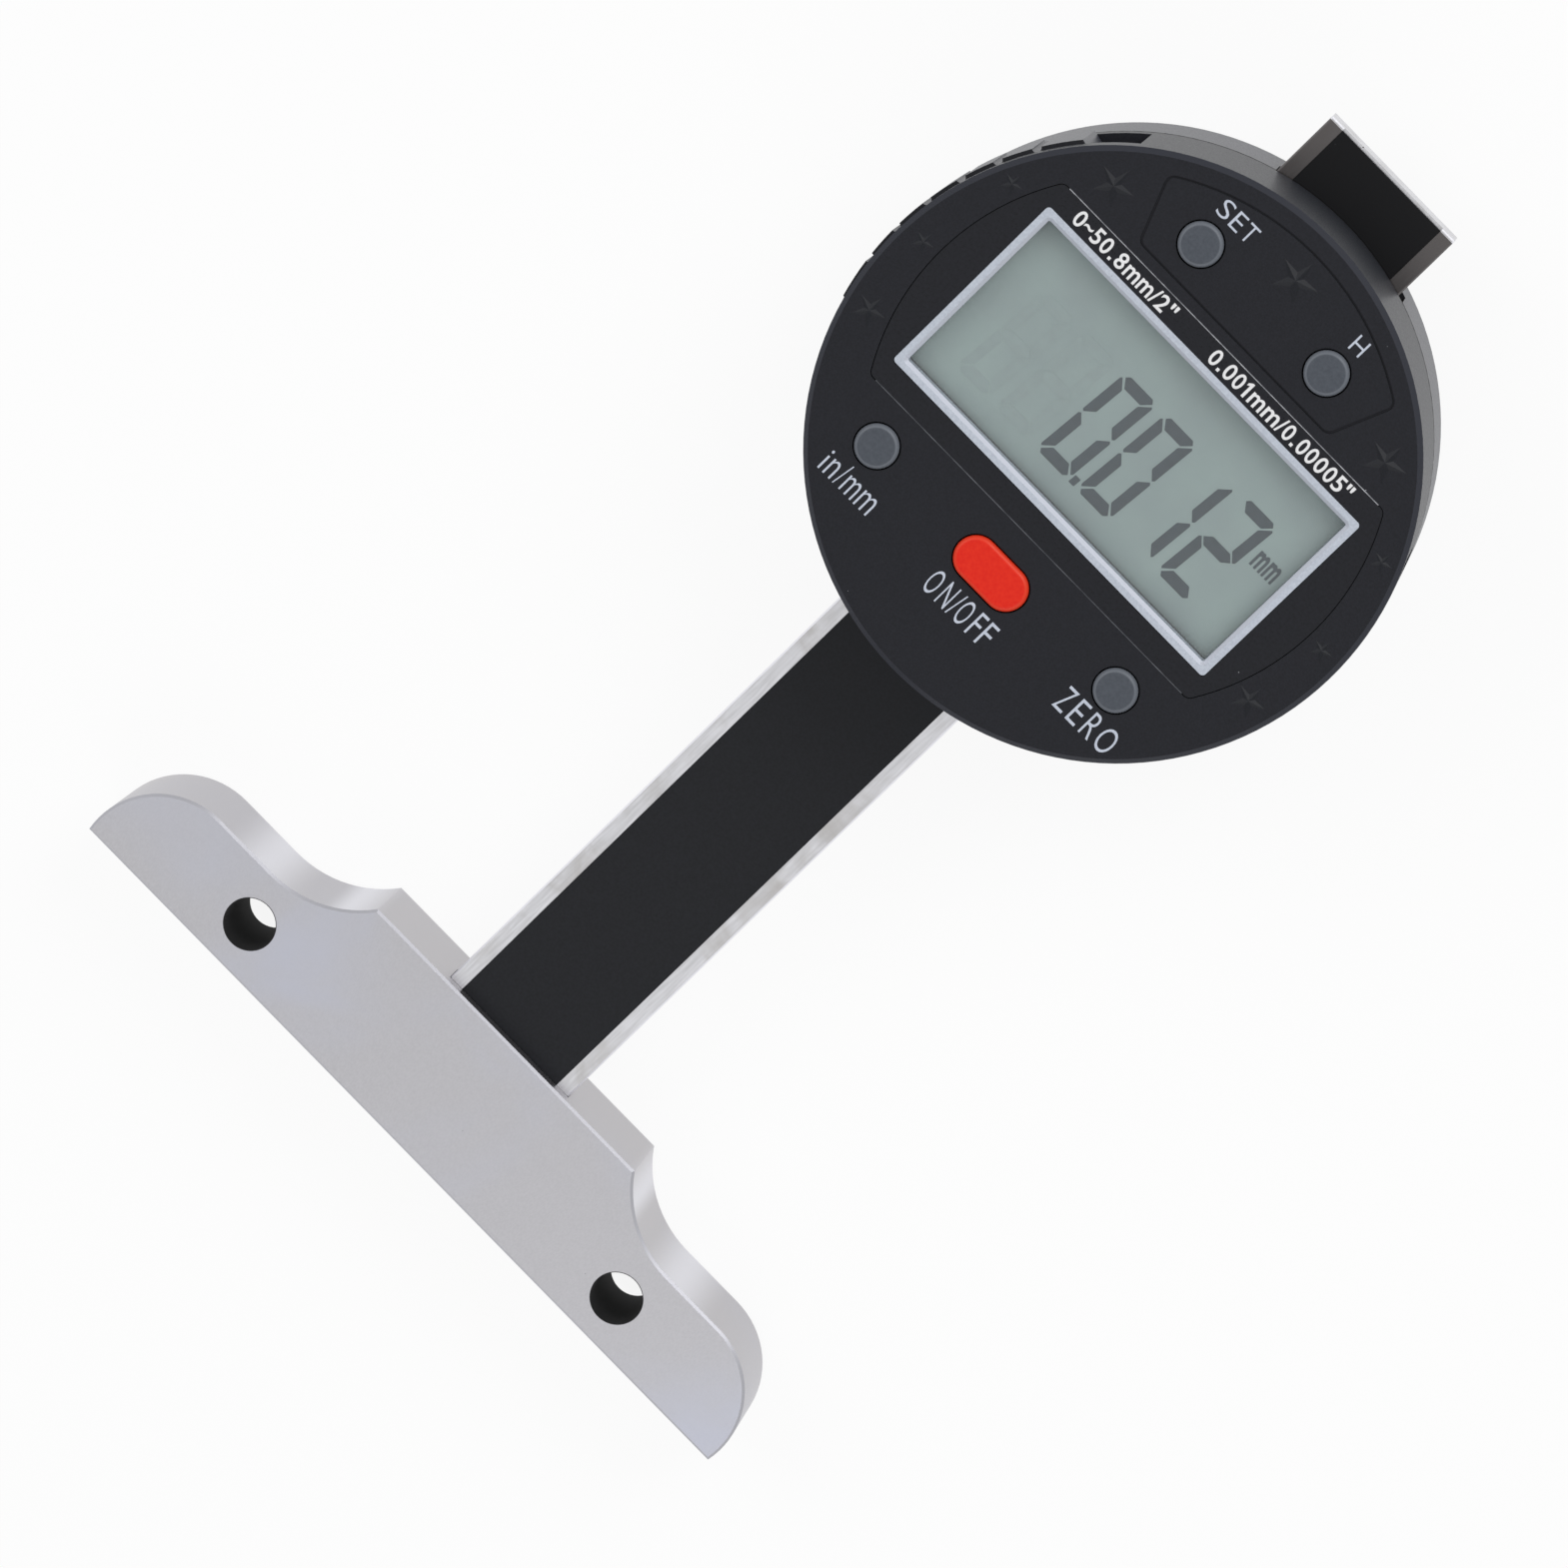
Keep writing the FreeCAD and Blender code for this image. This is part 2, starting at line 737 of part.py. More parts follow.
def make_rod():
    body = make_body("depth_rod")
    sk = sketch_on(body, "XZ_Plane")
    add_circle(sk, zero, rod_axis, size("rod_radius"))
    end = head_centre + size("carrier_offset") + size("carrier_length") / 2
    pad(body, sk, end, reverse=True)
    tip = edge_names(body.Shape, lambda edge: near(edge.BoundBox.YMax, 0))
    dress(body, "Chamfer", tip, size("rod_tip_chamfer"))


def make_bush():
    body = make_body("rod_bush")
    sk = sketch_on(body, "XZ_Plane", -size("beam_seat_height"))
    add_circle(sk, zero, rod_axis, size("bush_radius") - size("thread_gap"))
    add_circle(sk, zero, rod_axis, size("rod_radius") + size("rod_running_gap"))
    pad(body, sk, size("bush_length") - size("thread_gap"))


def make_carrier():
    """A block in the rear housing whose tongue reaches into the beam's groove and holds the rod."""
    body = head_body("rod_carrier")
    low = size("carrier_offset") - size("carrier_length") / 2
    high = size("carrier_offset") + size("carrier_length") / 2
    half = size("carrier_width") / 2
    tongue = half_groove - size("carrier_tongue_gap")
    tongue_top = groove_floor - size("carrier_tongue_gap") / 2
    for half_width, top in ((half, carrier_top), (tongue, tongue_top)):
        sk = sketch_on(body, "XY_Plane", carrier_floor)
        add_box(sk, -half_width, half_width, low, high)
        pad(body, sk, top - carrier_floor)
    sk = sketch_on(body, "XZ_Plane", -low)
    add_circle(sk, zero, rod_axis, size("rod_radius") + size("thread_gap"))
    pocket(body, sk, size("carrier_length"))
    sk = sketch_on(body, "XY_Plane", carrier_top)
    for side in (-1, 1):
        add_circle(sk, carrier_screw_x * side, size("carrier_offset"),
                   size("carrier_screw_radius") + size("thread_gap"))
    pocket(body, sk, carrier_top - carrier_floor)


def make_carrier_screws():
    tip = carrier_top - size("carrier_tongue_gap")
    profile = screw_profile(size("carrier_screw_radius"), size("carrier_screw_head_radius"),
                            size("carrier_screw_head_depth"), head_back, tip)
    offset = size("carrier_offset")
    places = [(-carrier_screw_x, offset), (carrier_screw_x, offset)]
    screw_group("carrier_screws", profile, places, head_centre)


# Head housings

def lens_outline(sk, shrink):
    """The window's shape: a band of a circle about the display's centre, with rounded corners."""
    radius, corner = lens_radius - shrink, size("lens_corner") - shrink
    corner_y = half_lens - shrink - corner
    corner_x = root((radius - corner) * (radius - corner) - corner_y * corner_y)
    end_x, end_y = (place * radius / (radius - corner) for place in (corner_x, corner_y))
    top, bottom = lens_top - shrink, lens_bottom + shrink
    add_outline(sk, [
        (-corner_x, bottom),
        (corner_x, bottom, corner, 1),
        (end_x, display_y - end_y, radius, 1),
        (end_x, display_y + end_y, corner, 1),
        (corner_x, top),
        (-corner_x, top, corner, 1),
        (-end_x, display_y + end_y, radius, 1),
        (-end_x, display_y - end_y, corner, 1),
    ])


def frame_outline(sk, grow):
    half_height = half_frame_height + grow
    add_rounded_box(sk, half_frame_width + grow, display_y - half_height, display_y + half_height,
                    size("frame_corner") + grow)


def window_outline(sk, shrink):
    """The opening inside the silver frame's band."""
    band = size("frame_band") + shrink
    half_height = half_frame_height - band
    add_rounded_box(sk, half_frame_width - band, display_y - half_height, display_y + half_height,
                    size("frame_corner") / 2)


def ring_segment(sk, inner, outer, start, end):
    """Part of a ring between two angles, which run clockwise from +Y."""
    add_outline(sk, [
        (*polar(outer, start), outer, -1), polar(outer, end),
        (*polar(inner, end), inner, 1), polar(inner, start),
    ])


def key_field(sk, inset):
    """The field around the upper keys: its sides lean outwards and its top follows the head."""
    radius = field_radius - inset
    angle = size("field_angle") - arc_degrees(inset, field_radius)
    half = size("field_half_width") - inset
    low = lens_top + size("field_margin") + inset
    corner = size("field_corner") - inset
    tip_x, tip_y = polar(radius, angle)
    side_x, side_y = tip_x - half, tip_y - low
    side = root(side_x * side_x + side_y * side_y)
    across, up = side_x / side, side_y / side
    low_cut = corner_cut(corner, across)
    high_cut = corner_cut(corner, sine(angle) * up - cosine(angle) * across)
    low_x, low_y = half + across * low_cut, low + up * low_cut
    high_x, high_y = tip_x - across * high_cut, tip_y - up * high_cut
    arc_angle = angle - arc_degrees(high_cut, radius)
    add_outline(sk, [
        (-half + low_cut, low),
        (half - low_cut, low, corner, 1),
        (low_x, low_y),
        (high_x, high_y, corner, 1),
        (*polar(radius, arc_angle), radius, 1),
        (*polar(radius, -arc_angle), corner, 1),
        (-high_x, high_y),
        (-low_x, low_y, corner, 1),
    ])


def pill_outline(sk, grow):
    radius = size("power_key_radius") + grow
    half = size("power_key_length") / 2 + grow - radius
    end = half + radius
    low, high = power_key_y - radius, power_key_y + radius
    add_outline(sk, [
        (-half, low), (half, low, radius, 1), (end, power_key_y, radius, 1),
        (half, high), (-half, high, radius, 1), (-end, power_key_y, radius, 1),
    ])


def face_segment(sk, inner, outer, half_width):
    """The curved face of the drawer, square across its own frame, whose -X points out."""
    def reach(radius):
        return -root(radius * radius - half_width * half_width)
    add_outline(sk, [
        (reach(outer), half_width, outer, 1), (reach(outer), -half_width),
        (reach(inner), -half_width, inner, -1), (reach(inner), half_width),
    ])


def finger_recess(body, cover_side, far_side, depth, slant):
    """A hollow in the wall beside a cover, with its own back wall and a far end that may slant."""
    way = 1 if far_side.value > cover_side.value else -1
    back = head_radius - depth
    margin = size("recess_side_angle") * way
    sk = sketch_on(body, "XY_Plane", drawer_low - overrun)
    ring_segment(sk, back - size("recess_back_wall"), inner_radius + size("head_wall") / 2,
                 *in_order(cover_side - margin, far_side + margin))
    pad(body, sk, plate_back - drawer_low + overrun)
    sk = sketch_on(body, "XY_Plane", drawer_high)
    outside = head_radius + overrun
    outer_start, outer_end = in_order(cover_side, far_side + slant * way)
    inner_start, inner_end = in_order(cover_side, far_side)
    add_outline(sk, [
        (*polar(outside, outer_start), outside, -1), polar(outside, outer_end),
        (*polar(back, inner_end), back, 1), polar(back, inner_start),
    ])
    pocket(body, sk, drawer_high - drawer_low)


def make_front_housing():
    body = head_body("front_housing")
    chamfer = size("front_edge_chamfer")
    low = seam + size("seam_gap")
    turned_piece(body, [
        (zero, plate_back), (inner_radius, plate_back), (inner_radius, low), (head_radius, low),
        (head_radius, face - chamfer), (head_radius - chamfer, face), (zero, face),
    ])
    # Recesses for the window and its frame, and the opening above the display
    sk = sketch_on(body, "XY_Plane", face)
    lens_outline(sk, zero)
    pocket(body, sk, size("lens_thickness") + size("lens_sink"))
    sk = sketch_on(body, "XY_Plane", face)
    frame_outline(sk, size("frame_gap"))
    pocket(body, sk, size("frame_thickness") + size("frame_sink"))
    sk = sketch_on(body, "XY_Plane", face)
    window_outline(sk, zero)
    pocket(body, sk, size("face_plate") + overrun)
    # Keys
    sk = sketch_on(body, "XY_Plane", face)
    for x, y in round_keys.values():
        add_circle(sk, x, y, size("key_radius") + size("key_gap"))
    pill_outline(sk, size("key_gap"))
    pocket(body, sk, size("face_plate") + overrun)
    sk = sketch_on(body, "XY_Plane", face)
    key_field(sk, zero)
    key_field(sk, size("field_groove"))
    pocket(body, sk, size("field_groove_depth"))
    # Screw bosses, with a shoulder that the circuit board lies against
    shoulder = size("boss_radius") + size("boss_shoulder")
    for low_level, radius in ((seam, size("boss_radius")), (board_top, shoulder)):
        sk = sketch_on(body, "XY_Plane", low_level)
        for x, y in screw_places:
            add_circle(sk, x, y, radius)
        pad(body, sk, plate_back - low_level)
    # Battery drawer: guides, the opening for its tray and the rebate for its face
    half = half_tray + size("drawer_gap")
    sk = sketch_on(body, "XY_Plane", tray_low - overrun, drawer_turn)
    guide_end = root(inner_radius * inner_radius - half * half)
    for side in (-1, 1):
        low_y, high_y = in_order(half * side, (half + size("guide_width")) * side)
        add_box(sk, -guide_end - size("head_wall") / 2, -guide_end + size("guide_length"), low_y, high_y)
    pad(body, sk, board_back - size("drawer_gap") - tray_low + overrun)
    finger_recess(body, -size("drawer_recess_start_angle"), -size("drawer_recess_end_angle"),
                  size("recess_depth"), size("recess_slant_angle"))
    finger_recess(body, size("port_cover_start_angle"), size("port_recess_end_angle"),
                  size("port_recess_depth"), zero)
    sk = sketch_on(body, "XY_Plane", cell_high + size("drawer_gap"), drawer_turn)
    add_box(sk, -head_radius - overrun, -guide_end + size("guide_length"), -half, half)
    pocket(body, sk, cell_high - tray_low + size("drawer_gap") * 2)
    sk = sketch_on(body, "XY_Plane", drawer_high, drawer_turn)
    face_floor = head_radius - size("drawer_face_thickness") - size("drawer_gap")
    face_segment(sk, face_floor, head_radius + overrun, half_drawer)
    pocket(body, sk, drawer_high - drawer_low)
    # Data port: the rebate for its cover and the hole for the cover's plug
    sk = sketch_on(body, "XY_Plane", drawer_high)
    ring_segment(sk, head_radius - size("port_cover_lip") - size("drawer_gap"), head_radius + overrun,
                 size("port_cover_start_angle"), size("port_cover_end_angle"))
    pocket(body, sk, drawer_high - drawer_low)
    sk = sketch_on(body, "XY_Plane", port_high + size("drawer_gap"), port_turn)
    half = size("port_plug_width") / 2 + size("drawer_gap")
    add_box(sk, inner_radius - overrun, head_radius + overrun, -half, half)
    pocket(body, sk, size("port_plug_height") + size("drawer_gap") * 2)
    # Holes for the screws that come through the rear housing
    sk = sketch_on(body, "XY_Plane", seam)
    for x, y in screw_places:
        add_circle(sk, x, y, size("housing_screw_radius") + size("thread_gap"))
    pocket(body, sk, size("housing_screw_length") + head_back - seam + size("screw_end_gap"), reverse=True)


def make_rear_housing():
    body = head_body("rear_housing")
    turned_piece(body, [(zero, head_back), (head_radius, head_back), (head_radius, seam), (zero, seam)])
    dress(body, "Fillet", level_edges(body.Shape, head_back.value), size("rear_edge_fillet"))
    # Hollow chambers on both sides of the rails
    floor_level = head_back + size("rear_floor")
    for side, edge in ((-1, left_rail + size("rail_width")), (1, right_rail + size("rail_width"))):
        sk = sketch_on(body, "XY_Plane", seam)
        reach = root(inner_radius * inner_radius - edge * edge)
        if side > 0:
            add_outline(sk, [(edge, -reach, inner_radius, 1), (edge, reach)])
        else:
            add_outline(sk, [(-edge, reach, inner_radius, 1), (-edge, -reach)])
        pocket(body, sk, seam - floor_level)
    sk = sketch_on(body, "XY_Plane", floor_level)
    for x, y in screw_places:
        add_circle(sk, x, y, size("boss_radius"))
    pad(body, sk, seam - floor_level)
    # Channel for the beam, and the pocket for the rod carrier in its floor
    channel_floor = beam_back - size("guide_gap")
    sk = sketch_on(body, "XY_Plane", seam)
    add_box(sk, -left_rail, right_rail, -head_radius - overrun, head_radius + overrun)
    pocket(body, sk, seam - channel_floor)
    gap = size("carrier_pocket_gap")
    sk = sketch_on(body, "XY_Plane", channel_floor)
    low = size("carrier_offset") - size("carrier_length") / 2 - gap
    half = size("carrier_width") / 2 + gap
    add_box(sk, -half, half, low, low + size("carrier_length") + gap * 2)
    pocket(body, sk, channel_floor - carrier_floor)
    for side in (-1, 1):
        countersunk(body, carrier_screw_x * side, size("carrier_offset"),
                    size("carrier_screw_head_radius"), size("carrier_screw_head_depth"),
                    size("carrier_screw_radius") + size("thread_gap"), head_back, carrier_floor)
    for x, y in screw_places:
        countersunk(body, x, y, size("housing_screw_head_radius"), size("housing_screw_head_depth"),
                    size("housing_screw_radius") + size("thread_gap"), head_back, seam)
    # Threaded holes of the gib screws through the right-hand rail
    sk = sketch_on(body, "YZ_Plane", right_rail + size("rail_width"))
    for side in (-1, 1):
        add_circle(sk, size("gib_screw_spacing") / 2 * side, gib_level,
                   size("gib_screw_radius") + size("thread_gap"))
    pocket(body, sk, size("rail_width") + size("guide_gap"))


def make_housing_screws():
    profile = screw_profile(size("housing_screw_radius"), size("housing_screw_head_radius"),
                            size("housing_screw_head_depth"), head_back,
                            head_back + size("housing_screw_length"))
    screw_group("housing_screws", profile, screw_places, head_centre)


def make_gib():
    half = size("gib_length") / 2
    left = half_beam + size("guide_gap")

    def outline(sk):
        add_box(sk, left, left + size("gib_thickness"), -half, half)
    level = gib_level - size("gib_height") / 2
    plate(head_body("gib_strip"), outline, level, level + size("gib_height"))


def make_gib_screws():
    """Two slotted grub screws in the right-hand rail that press on the gib."""
    form = make_body("gib_screws_form")
    start = right_rail - size("guide_gap") / 2
    end = right_rail + size("rail_width")
    sk = sketch_on(form, "YZ_Plane", start)
    add_circle(sk, zero, gib_level, size("gib_screw_radius"))
    pad(form, sk, end - start)
    sk = sketch_on(form, "XY_Plane", gib_level + size("gib_screw_radius"))
    half_slot = size("grub_slot_half_width")
    add_box(sk, end - size("grub_slot_depth"), end + overrun, -half_slot, half_slot)
    pocket(form, sk, size("gib_screw_radius") * 2)
    half = size("gib_screw_spacing") / 2
    repeat("gib_screws", form, [(zero, -half), (zero, half)], head_centre)


# Window and display

def make_lens():
    body = head_body("window_lens")
    top = face - size("lens_sink")
    sk = sketch_on(body, "XY_Plane", top - size("lens_thickness"))
    lens_outline(sk, size("lens_gap"))
    frame_outline(sk, size("frame_gap"))
    pad(body, sk, size("lens_thickness"))


def make_frame():
    body = head_body("display_frame")
    top = face - size("frame_sink")
    sk = sketch_on(body, "XY_Plane", top - size("frame_thickness"))
    frame_outline(sk, zero)
    window_outline(sk, zero)
    pad(body, sk, size("frame_thickness"))
    band = size("frame_band").value
    opening = body.Shape.BoundBox
    opening.enlarge(-band / 2)

    def inner_top(edge):
        box = edge.BoundBox
        return near(box.ZMin, top.value) and box.XMax < opening.XMax and box.XMin > opening.XMin \
            and box.YMax < opening.YMax and box.YMin > opening.YMin
    dress(body, "Chamfer", edge_names(body.Shape, inner_top), size("frame_bevel"))


def make_pane():
    low = face - size("frame_sink") - size("frame_thickness")

    def outline(sk):
        window_outline(sk, size("pane_gap"))
    plate(head_body("display_pane"), outline, low, low + size("pane_thickness"))


def make_display():
    """Two glass plates: the front one reaches further down, where the zebra strip meets it."""
    body = head_body("lcd_panel")
    middle = display_top - size("display_thickness") / 2
    sk = sketch_on(body, "XY_Plane", middle)
    low, high = display_y - half_display_height, display_y + half_display_height
    add_box(sk, -half_display_width, half_display_width, low, high)
    pad(body, sk, size("display_thickness") / 2)
    sk = sketch_on(body, "XY_Plane", display_back)
    ledge = size("zebra_depth") + size("zebra_inset")
    add_box(sk, -half_display_width, half_display_width, low + ledge, high)
    pad(body, sk, size("display_thickness") / 2)


def zebra_outline(sk, grow):
    half = half_display_width - size("zebra_end_inset") + grow
    low = display_y - half_display_height + size("zebra_inset") / 2 - grow
    add_box(sk, -half, half, low, low + size("zebra_depth") + grow * 2)


def make_zebra():
    def outline(sk):
        zebra_outline(sk, zero)
    plate(head_body("zebra_strip"), outline, board_top, display_top - size("display_thickness") / 2)


# Boards and keys

def cut_boss_holes(body, top, depth, hole):
    for x, y in screw_places:
        sk = sketch_on(body, "XY_Plane", top)
        add_circle(sk, x, y, hole)
        pocket(body, sk, depth)


def make_board():
    body = head_body("circuit_board")
    sk = sketch_on(body, "XY_Plane", board_back)
    add_circle(sk, zero, zero, board_radius)
    pad(body, sk, size("board_thickness"))
    cut_boss_holes(body, board_top, size("board_thickness"), size("boss_radius") + size("board_hole_gap"))


def make_keypad():
    body = head_body("keypad_sheet")
    top = board_top + size("keypad_thickness")
    sk = sketch_on(body, "XY_Plane", board_top)
    add_circle(sk, zero, zero, board_radius - size("keypad_inset"))
    pad(body, sk, size("keypad_thickness"))
    shoulder = size("boss_radius") + size("boss_shoulder") + size("board_hole_gap")
    cut_boss_holes(body, top, size("keypad_thickness"), shoulder)
    sk = sketch_on(body, "XY_Plane", top)
    zebra_outline(sk, size("board_hole_gap"))
    pocket(body, sk, size("keypad_thickness"))


def make_sensor_board():
    half_width = size("sensor_width") / 2
    half_length = -lower_screw_y - size("boss_radius") - size("sensor_gap")

    def outline(sk):
        add_rounded_box(sk, half_width, -half_length, half_length, size("sensor_corner"))
    plate(head_body("sensor_board"), outline, seam, seam + size("sensor_thickness"))


def make_board_plug():
    half_width, half_length = size("plug_width") / 2, size("plug_length") / 2
    x = size("plug_x")

    def outline(sk):
        add_box(sk, x - half_width, x + half_width, -half_length, half_length)
    plate(head_body("board_plug"), outline, seam + size("sensor_thickness"), board_back)


key_top = face + size("key_rise")
flange_top = plate_back - size("key_gap") / 2
flange_low = flange_top - size("key_flange_thickness")
stem_low = board_top + size("keypad_thickness") + size("key_travel") + size("key_rest_gap")


def make_round_key(label):
    x, y = round_keys[label]
    body = head_body(label, x, y)
    radius, flange = size("key_radius"), size("key_radius") + size("key_flange")
    turned_piece(body, [
        (zero, stem_low), (size("key_stem_radius"), stem_low), (size("key_stem_radius"), flange_low),
        (flange, flange_low), (flange, flange_top), (radius, flange_top), (radius, key_top),
        (zero, key_top),
    ])
    dress(body, "Fillet", level_edges(body.Shape, key_top.value), size("key_edge"))


def make_power_key():
    body = head_body("power_key")
    levels = [
        (flange_low, flange_top, size("key_flange")),
        (flange_low, key_top, zero),
        (stem_low, flange_top, size("key_stem_radius") - size("power_key_radius")),
    ]
    for low, high, grow in levels:
        sk = sketch_on(body, "XY_Plane", low)
        pill_outline(sk, grow)
        pad(body, sk, high - low)
    dress(body, "Fillet", level_edges(body.Shape, key_top.value), size("key_edge"))


# Battery drawer, cell and contacts, in a frame turned so that -X is the way out

def make_drawer():
    body = head_body("battery_drawer", turn=drawer_turn)
    inner = head_radius - size("drawer_face_thickness")
    sk = sketch_on(body, "XY_Plane", tray_low)
    reach = root(inner * inner - half_tray * half_tray)
    add_outline(sk, [
        (-tray_end, -half_tray), (-tray_end, half_tray),
        (-reach, half_tray, inner, 1), (-reach, -half_tray),
    ])
    pad(body, sk, size("tray_wall_height"))
    sk = sketch_on(body, "XY_Plane", tray_high)
    add_circle(sk, -cell_offset, zero, size("cell_radius") + size("cell_gap"))
    pocket(body, sk, size("tray_wall_height") - size("tray_floor"))
    sk = sketch_on(body, "XY_Plane", tray_high)
    window = size("tray_window") / 2
    add_box(sk, -cell_offset + size("cell_radius") / 2, zero, -window, window)
    pocket(body, sk, size("tray_wall_height") - size("tray_floor"))
    # Curved face with grip grooves
    sk = sketch_on(body, "XY_Plane", drawer_low + size("drawer_gap"))
    grip_radius = head_radius + size("drawer_rise")
    face_segment(sk, inner, grip_radius, half_drawer - size("drawer_gap"))
    pad(body, sk, drawer_high - drawer_low - size("drawer_gap") * 2)
    sk = sketch_on(body, "XY_Plane", drawer_high)
    radius = size("grip_groove_width") / 2
    ring = grip_radius + radius - size("grip_groove_depth")
    count = int(sizes["grip_groove_count"])
    for i in range(count):
        angle = arc_degrees(size("grip_groove_pitch"), head_radius) * (i - (count - 1) / 2)
        add_circle(sk, -(ring * cosine(angle)), ring * sine(angle), radius)
    pocket(body, sk, drawer_high - drawer_low)


def make_cell():
    body = head_body("coin_cell", turn=drawer_turn)
    radius, step = size("cell_radius"), size("cell_step")
    for level, top, shrink in ((cell_low, cell_low + step, step), (cell_low + step, cell_high, zero)):
        sk = sketch_on(body, "XY_Plane", level)
        add_circle(sk, -cell_offset, zero, radius - shrink)
        pad(body, sk, top - level)
    dress(body, "Fillet", level_edges(body.Shape, cell_high.value), step)


def make_contacts():
    """Two leaves under the circuit board: one lies over the cell and one meets its rim."""
    thick, half = size("contact_thickness"), size("contact_width") / 2
    over = head_body("contact_over", turn=drawer_turn)
    sk = sketch_on(over, "XZ_Plane", -half)
    start = -cell_offset + size("cell_radius") / 2
    end = start - size("contact_length")
    low = cell_high + size("cell_gap")
    top, tip, mitre = end + size("contact_ramp"), end - size("contact_foot"), thick / 2
    add_outline(sk, [
        (start, board_back - thick), (start, board_back), (top, board_back), (end, low + thick),
        (tip, low + thick), (tip, low), (end - mitre, low), (top - mitre, board_back - thick),
    ])
    pad(over, sk, half * 2)
    rim = head_body("contact_rim", turn=drawer_turn)
    sk = sketch_on(rim, "XZ_Plane", -half)
    x = -cell_offset + size("cell_radius") + size("cell_gap") * 2
    foot = x + size("contact_width")
    low = tray_low + size("tray_floor") + size("cell_step") + size("cell_gap") * 2
    add_outline(sk, [
        (x, low), (x + thick, low), (x + thick, board_back - thick), (foot, board_back - thick),
        (foot, board_back), (x, board_back),
    ])
    pad(rim, sk, half * 2)


def make_port_cover():
    body = head_body("port_cover")
    gap = size("drawer_gap")
    sk = sketch_on(body, "XY_Plane", drawer_low + gap)
    turn = arc_degrees(gap, head_radius)
    ring_segment(sk, head_radius - size("port_cover_lip"), head_radius,
                 size("port_cover_start_angle") + turn, size("port_cover_end_angle") - turn)
    pad(body, sk, drawer_high - drawer_low - gap * 2)
    sk = sketch_on(body, "XY_Plane", port_low, port_turn)
    half = size("port_plug_width") / 2
    end = head_radius - size("port_cover_lip") / 2
    add_outline(sk, [
        (head_radius - size("port_cover_plug"), -half), (root(end * end - half * half), -half, end, 1),
        (root(end * end - half * half), half), (head_radius - size("port_cover_plug"), half),
    ])
    pad(body, sk, size("port_plug_height"))


for piece in (make_base, make_beam, make_strip, make_base_screws, make_stop_screw,
              make_rod, make_bush, make_carrier, make_carrier_screws,
              make_front_housing, make_rear_housing, make_housing_screws, make_gib, make_gib_screws,
              make_lens, make_frame, make_pane, make_display, make_zebra,
              make_board, make_keypad, make_sensor_board, make_board_plug, make_power_key,
              make_drawer, make_cell, make_contacts, make_port_cover):
    piece()
for label in round_keys:
    make_round_key(label)

doc.recompute()
failed = [o.Label for o in doc.Objects if "Invalid" in o.State or "Error" in o.State]
if failed:
    raise ValueError("failed: " + ", ".join(failed))
pieces = [o for o in doc.Objects if o.TypeId in ("PartDesign::Body", "Part::Compound")]
pieces = [o for o in pieces if not o.Label.endswith("_form")]
for piece in pieces:
    if piece.Shape.isNull() or not piece.Shape.isValid():
        raise ValueError("bad shape: " + piece.Label)
os.makedirs("parts", exist_ok=True)
for piece in pieces:
    piece.Shape.exportStep(f"parts/{piece.Label}.step")
    print(f"{piece.Label}: {len(piece.Shape.Solids)} solids, {piece.Shape.Volume:.1f} mm3")
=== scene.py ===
import math

import bmesh
import bpy
from mathutils import Matrix, Vector


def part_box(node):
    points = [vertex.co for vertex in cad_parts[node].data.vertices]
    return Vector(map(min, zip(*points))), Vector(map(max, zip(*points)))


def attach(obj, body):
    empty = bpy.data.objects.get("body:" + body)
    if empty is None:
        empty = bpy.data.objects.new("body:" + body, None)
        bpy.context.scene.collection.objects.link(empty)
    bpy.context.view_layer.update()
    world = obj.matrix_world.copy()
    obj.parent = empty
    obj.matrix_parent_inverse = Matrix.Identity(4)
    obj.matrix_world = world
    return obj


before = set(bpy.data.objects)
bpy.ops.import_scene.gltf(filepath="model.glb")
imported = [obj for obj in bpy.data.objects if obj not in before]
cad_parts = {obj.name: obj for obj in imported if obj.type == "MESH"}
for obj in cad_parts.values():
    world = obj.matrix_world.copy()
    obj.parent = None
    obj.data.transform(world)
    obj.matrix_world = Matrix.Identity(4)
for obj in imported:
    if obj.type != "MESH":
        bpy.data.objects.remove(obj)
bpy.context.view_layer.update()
mm = 0.001
print("frame loaded:", len(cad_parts), "pieces")


def cornersInMm(node):
    # lowest and highest corner of a piece of the frame
    return [[round(value / mm, 3) for value in corner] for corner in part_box(node)]


# Places in mm: what is on the head is laid out from its centre, and a level is how high a surface lies

rearLow, rearHigh = cornersInMm("rear_housing")
headCentre = Vector((0.0, (rearLow[1] + rearHigh[1]) / 2, 0.0))
backLevel = rearLow[2]
seamLevel = rearHigh[2]
faceLevel = cornersInMm("front_housing")[1][2]
windowLevel = cornersInMm("window_lens")[1][2]
glassLevel = cornersInMm("lcd_panel")[1][2]
stripEnd = cornersInMm("scale_strip")[1][1]


def fromHead(x, y, z):
    return (headCentre + Vector((x, y, z))) * mm


def paint(red, green, blue):
    # screen colour, 0 to 255, as the shader's own numbers
    def straight(value):
        value /= 255
        return value / 12.92 if value <= 0.04045 else ((value + 0.055) / 1.055) ** 2.4
    return (straight(red), straight(green), straight(blue), 1.0)


# Nodes

def feed(tree, socket, value):
    # the output of another node is linked, and a number or a colour is set
    if isinstance(value, bpy.types.NodeSocket):
        tree.links.new(value, socket)
    elif value is not None:
        socket.default_value = value


def mathNode(tree, operation, first, second=None, third=None):
    node = tree.nodes.new("ShaderNodeMath")
    node.operation = operation
    for socket, value in zip(node.inputs, (first, second, third)):
        feed(tree, socket, value)
    return node.outputs[0]


